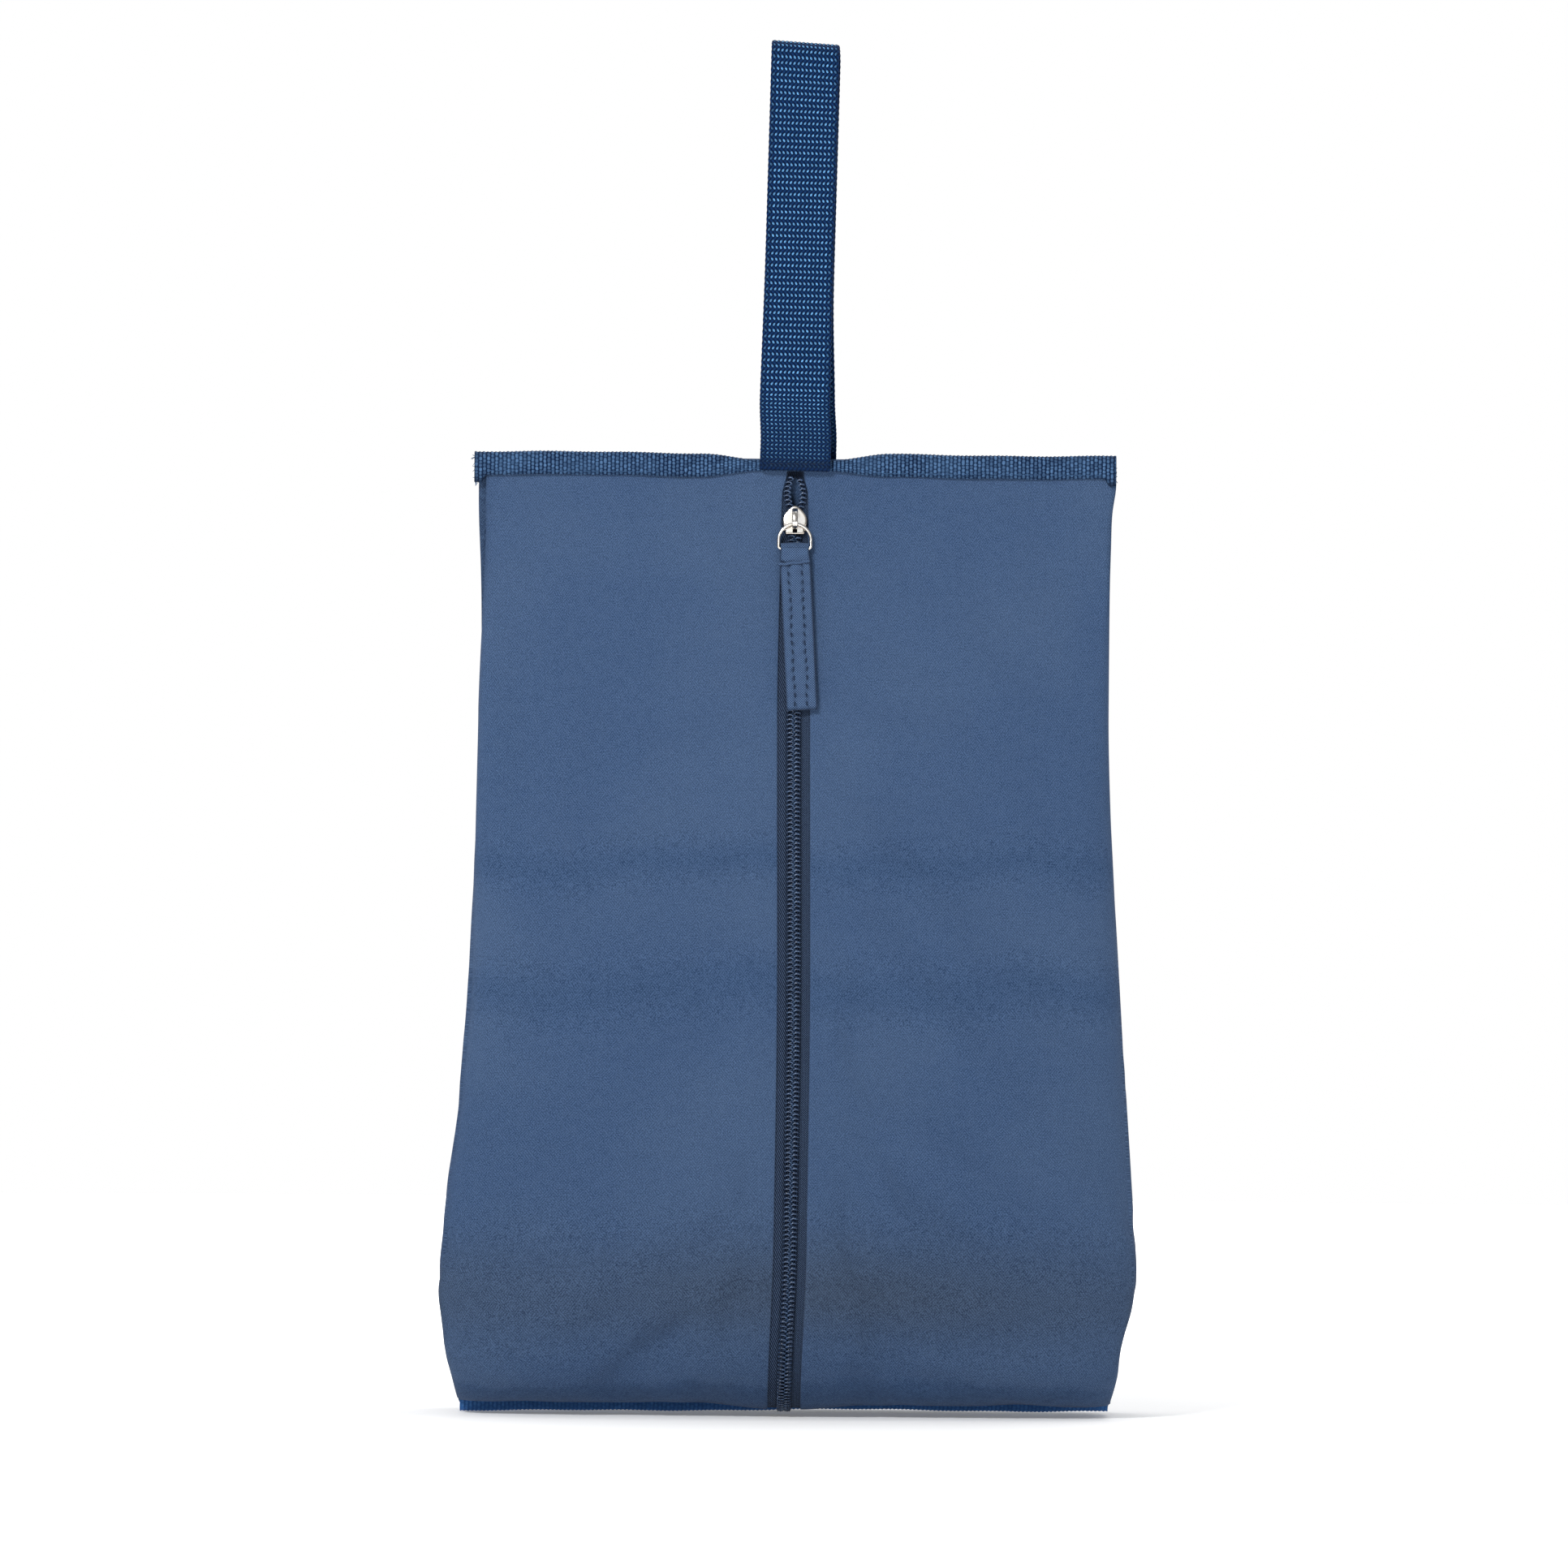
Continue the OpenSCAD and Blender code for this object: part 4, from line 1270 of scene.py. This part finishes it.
def tab_layer(name, x_half, down_from, down_to, out_at, thick, ragged=0.0, seams=True):
    """A layer of the tab: a soft slab, pressed in along its rows of stitching and round at its edges.
    Without seams its top stays full, to run on from the loop."""
    down = np.linspace(down_from, down_to, max(round((down_to - down_from) / 0.55), 4))[:, None]
    xs = np.linspace(-1, 1, 26)
    ring_x = np.concatenate([xs, xs[::-1]])
    is_front = np.repeat([1, 0], len(xs))
    edge = np.sqrt(np.clip(1 - np.abs(ring_x) ** 9, 0, 1))
    half = x_half(down)
    x = ring_x * half
    puff = edge * thick / 2 + 0 * x
    # Painted shade along the edges, beside the stitching and at the cut end
    shade = 0.75 * bump(np.abs(x), half + 0.1, 0.55)
    end = smooth(down_to + 0.1, down_to - 0.5, down)
    if seams:
        beat = np.cos(2 * math.pi * (down - 9.3) / STITCH_PITCH)
        for at in STITCH_ROWS:
            puff = puff - 0.36 * bump(x, at, 0.7) * (0.6 + 0.4 * beat) * is_front
            shade = shade + 0.75 * bump(x, at + tab_wander(down, at), 0.42) * (0.65 + 0.35 * beat)
        puff = puff + 0.12 * bump(np.abs(x), 5.0, 0.5) * is_front
        end = np.minimum(smooth(down_from - 0.1, down_from + 0.5, down), end)
    out = out_at + (2 * is_front - 1) * puff * mix(0.45, 1, end)
    teeth = 0.5 * np.sin(x * 1.9 + 0.6) + 0.35 * np.sin(x * 4.7) + 0.06 * x
    cut = down + smooth(down_to - 2.0, down_to, down) * ragged * teeth
    shade = shade + 0.6 * smooth(down_to - 1.2, down_to, down)
    weave = together(x + 20, cut, np.clip(shade, 0, 0.85))
    return grid(name, on_slope(tab_local(x, out, cut), TAB_PIN), weave, wrap=True, caps=True)


def tab_piece(material):
    """The doubled strip, its loop over the ring's bar and the loose end turned over at its top."""
    def neck(down):
        return mix(5.0, TAB_WIDTH / 2, smooth(2.0, 8.5, down))

    def cover_half(down):
        return mix(5.1, 5.5, smooth(0.5, 5, down))

    body = tab_layer("tab_body", neck, 1.2, TAB_LENGTH, 0.0, 1.7)
    loop_x = np.linspace(-5.0, 5.0, 22)[:, None]
    turn = np.linspace(0, math.pi, 13)
    outer = together(loop_x, 1.45 * np.cos(turn), 2.2 * np.sin(turn) + 0.12 * np.cos(loop_x * 0.6))
    inner = together(loop_x, 0.78 * np.cos(turn), 1.5 * np.sin(turn))[:, ::-1]
    round_bar = np.linspace(0, 5.8, 13)
    weave = together(loop_x + 20, np.concatenate([round_bar, round_bar[::-1]]), 0.12)
    loop_points = on_slope(np.concatenate([outer, inner], axis=1), TAB_PIN)
    loop = grid("tab_loop", loop_points, weave, wrap=True, caps=True)
    cover = tab_layer("tab_cover", cover_half, -0.3, 5.4, 1.15, 0.8, ragged=0.7, seams=False)
    x = np.linspace(-5.8, 4.9, 30)
    rolled = tab_local(x, 1.12 + 0.08 * np.sin(x * 2) - 0.035 * x, 5.3 - 0.07 * x + 0.13 * np.sin(x * 1.3))
    edge = tube("tab_edge", on_slope(rolled, TAB_PIN), 0.78, sides=12, flat=0.85)
    return painted(join("tab_strip", [body, loop, cover, edge]), material)


def stitch_run(name, starts, ends, outward, radius, material):
    """Threads that dip into the cloth at both ends, one for each pair of points."""
    parts = []
    ts = np.linspace(0, 1, 9)[:, None]
    for a, b in zip(starts, ends):
        arch = np.sin(math.pi * ts) ** 0.6
        path = mix(a, b, ts) + outward * (arch * radius * 1.5 - radius * 1.1)
        parts.append(tube("stitch", path, radius, sides=6))
    return painted(join(name, parts), material)


def tab_stitches(material):
    starts, ends = [], []
    for at in STITCH_ROWS:
        for down in np.arange(8.2, TAB_LENGTH - 3, STITCH_PITCH):
            lean = 0.16 * math.sin(down * 2.3)
            x = at + tab_wander(down, at) + np.array([-lean, lean])
            a, b = on_slope(tab_local(x, 0.6, down + np.array([0, 2.15])), TAB_PIN)
            starts.append(a)
            ends.append(b)
    return stitch_run("tab_thread", np.array(starts), np.array(ends), SLOPE_OUT, 0.2, material)


def stitch_row(side, xs, out, z, length, material):
    """One straight row of stitches on the front (side -1) or back (side 1) of a binding."""
    starts = together(xs, side * out, z)
    return stitch_run("row", starts, starts + [length, 0, 0], np.array([0.0, side, 0.0]), 0.16, material)


def binding_stitches(name, half, z, rise, gap, material):
    """Rows of stitches along a binding, front and back. They leave out the width of the handle."""
    xs = np.arange(-half, half, STITCH_PITCH)
    xs = xs[np.abs(xs + 1.1) > gap]
    low = z + rise * edge_dip(xs)
    rows = [stitch_row(side, middle(z) + xs, BINDING_OUT - 0.05, low, 2.3, material) for side in (-1, 1)]
    return painted(join(name, rows), material)


def handle_stitches(material):
    xs = BAG_X + np.arange(-9.5, 9.5, 3.0)
    out = BINDING_OUT + CLEARANCE + 2 * STRAP_T - 0.02
    rows = [stitch_row(side, xs, out, TOP_Z - 3.4, 2.0, material) for side in (-1, 1)]
    return painted(join("handle_thread", rows), material)


# ---------------------------------------------------------------- assembly


def finish_piece(obj, body, slot, *nodes):
    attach(obj, body)
    if nodes:
        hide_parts(*nodes)


def fray_places():
    """Where the top binding's cut ends fray: (point, direction, spread, count)."""
    end = TOP_TAPE / 2
    places = [((BAG_X - (end - 0.5), -1, TOP_Z - 1.6), (-1, 0, -0.3), (0.2, 1, 0.6), 4)]
    for hand in (-1, 1):
        cut = (BAG_X + hand * (end - 0.4), 0, TOP_Z - 5.2)
        places.append((cut, (hand * 0.35, 0, -0.3), (0.1, 2.4, 4.0), 9))
        for side in (-1, 1):
            corner = (BAG_X + hand * (end - 1.5), side * 2.2, HEM_Z - 2.0)
            places.append((corner, (0.15 * hand, 0, -0.7), (1.0, 0.4, 0.3), 6))
    return places


def build_bag(frayed):
    bag = bag_cloth(cloth_material())
    finish_piece(bag, "bag", "cloth", "front_panel_left", "front_panel_right", "back_panel",
                 "gusset_left", "gusset_right")

    strap, strap_length = handle_strap(webbing_material())
    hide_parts("handle_loop", "handle_end_front", "handle_end_rear")
    strap_length * MM
    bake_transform(strap)

    binding = binding_material("binding", srgb(92, 130, 174), srgb(10, 28, 56))
    top = folded_tape("top_tape", TOP_TAPE, HEM_H, 1, binding)
    finish_piece(top, "bag", "binding", "top_binding")
    # Its colours are lighter than the top binding's: painted light against the shade under the belly
    foot = binding_material("foot_binding_lightened", srgb(84, 138, 202), srgb(46, 90, 148), fade=0.3)
    foot_half = half_length("bottom_binding")
    bottom = folded_tape("foot_tape", 2 * foot_half, 7.6, -1, foot)
    finish_piece(bottom, "bag", "binding", "bottom_binding")
    2 * foot_half * MM
    finish_piece(frayed_ends("top_tape_fray", fray_places(), frayed), "bag", "thread")


def build_zip(thread):
    tape, nylon = zip_tape_material(), nylon_material()
    for hand, name in ((-1, "left"), (1, "right")):
        strip = zip_tape(hand, tape)
        finish_piece(strip, "bag", "zip_tape", "zip_tape_" + name)
        wire, sewn = zip_coil(hand, nylon, thread)
        finish_piece(wire, "bag", "zip_coil", "zip_coil_" + name)
        finish_piece(sewn, "bag", "thread")


def build_pull(thread):
    nickel = nickel_material()
    finish_piece(slider_piece(nickel), "slider", "nickel", "slider_body")
    finish_piece(bail_piece(nickel), "slider", "nickel", "slider_bail")
    finish_piece(ring_piece(nickel), "ring", "nickel", "pull_ring")
    strip = tab_piece(tab_material())
    finish_piece(strip, "tab", "tab_cloth", "pull_tab")
    finish_piece(tab_stitches(thread), "tab", "thread", "pull_tab_stitching")


def build_sewing(blue, dark):
    at_top = binding_stitches("top_tape_thread", 112, HEM_Z + 1.4, 1.6, 13.5, blue)
    finish_piece(at_top, "bag", "thread", "top_binding_stitching")
    foot_half = half_length("bottom_binding")
    at_foot = binding_stitches("foot_tape_thread", foot_half - 4, BOTTOM_Z + 5.6, 0, 0, blue)
    finish_piece(at_foot, "bag", "thread", "bottom_binding_stitching")
    finish_piece(handle_stitches(dark), "bag", "thread", "handle_stitching")


def floor():
    """A plain pale floor just under the bag's foot."""
    rings, spokes = 40, 96
    radius = np.linspace(0, 1, rings + 1)[1:] ** 1.4 * 2600
    angle = np.arange(spokes) * 2 * math.pi / spokes
    points = np.stack([radius[:, None] * np.cos(angle), radius[:, None] * np.sin(angle),
                       np.full((rings, spokes), BOTTOM_Z - 2)], -1)
    faces = quads(rings, spokes, wrap=True).tolist() + [list(range(spokes))]
    obj = mesh_object("floor", points, faces)
    m = Maker("floor")
    shade = m.noise(m.place(), 6.0, 2)
    # Far from the bag the floor glows, so that it meets the white wall without an edge
    far = m.span(m.distance(m.place()), 0.35, 1.1, 0.06, 1.0)
    tone = m.blend(m.span(shade, 0.3, 0.7), (0.94, 0.94, 0.94), (0.97, 0.97, 0.97))
    m.set(Base_Color=tone, Roughness=0.7, Specular_IOR_Level=0.1, Emission_Color=(1, 1, 1),
          Emission_Strength=far)
    obj.data.materials.append(m.material)
    face_outwards(obj)


def area_light(name, place, target, size, power):
    data = bpy.data.lights.new(name, "AREA")
    data.shape = "RECTANGLE"
    data.size = data.size_y = size
    data.energy = power
    obj = bpy.data.objects.new(name, data)
    obj.location = place
    obj.rotation_euler = (Vector(target) - Vector(place)).to_track_quat("-Z", "Y").to_euler()
    bpy.context.scene.collection.objects.link(obj)


FRONT_LIGHT = 0.26


def studio():
    """A room that is white behind the bag and dimmer in front of it, and a soft key from the upper left."""
    world = bpy.data.worlds.new("studio")
    world.use_nodes = True
    tree = world.node_tree
    where = tree.nodes.new("ShaderNodeTexCoord").outputs["Generated"]
    split = tree.nodes.new("ShaderNodeSeparateXYZ")
    ramp = tree.nodes.new("ShaderNodeMapRange")
    ramp.interpolation_type = "SMOOTHSTEP"
    tree.links.new(where, split.inputs[0])
    tree.links.new(split.outputs[1], ramp.inputs["Value"])
    for name, value in (("From Min", -0.5), ("From Max", 0.6), ("To Min", FRONT_LIGHT), ("To Max", 1.0)):
        ramp.inputs[name].default_value = value
    background = tree.nodes["Background"]
    background.inputs[0].default_value = (1, 1, 1, 1)
    tree.links.new(ramp.outputs["Result"], background.inputs[1])
    bpy.context.scene.world = world
    middle = (0, 0, -0.3)
    area_light("key", (-0.8, -1.9, 1.0), middle, 0.5, 37)
    area_light("top", (0.3, 0.6, 1.6), middle, 1.2, 12)
    # A card whose reflection fills the slider's face
    area_light("card", (0.05, -2.0, 0.52), (0, 0, -0.17), 0.7, 1.1)
    bpy.context.scene.view_settings.view_transform = "Standard"


def camera():
    """A long lens straight in front of the zip, turned a little so that the bag leans as it hangs."""
    distance, frame_width, sensor, roll = 5.0, 0.5682, 36.0, math.radians(-0.47)
    low, high = [np.array(c) for c in cad_box]
    centre_z = (low[2] + high[2]) / 2 - 0.0214
    data = bpy.data.cameras.new("camera")
    data.sensor_width = sensor
    data.lens = sensor * (distance - 0.01) / frame_width
    obj = bpy.data.objects.new("camera", data)
    obj.location = (BAG_X * MM - 0.0032, -distance, centre_z)
    obj.rotation_euler = (math.pi / 2, roll, 0)
    bpy.context.scene.collection.objects.link(obj)
    bpy.context.scene.camera = obj


camera()
dark_thread = thread_material("dark_thread", srgb(46, 62, 88), srgb(16, 26, 44))
blue_thread = thread_material("blue_thread", srgb(74, 108, 148), srgb(34, 58, 92))
build_bag(blue_thread)
build_zip(dark_thread)
build_pull(dark_thread)
build_sewing(blue_thread, dark_thread)
floor()
studio()
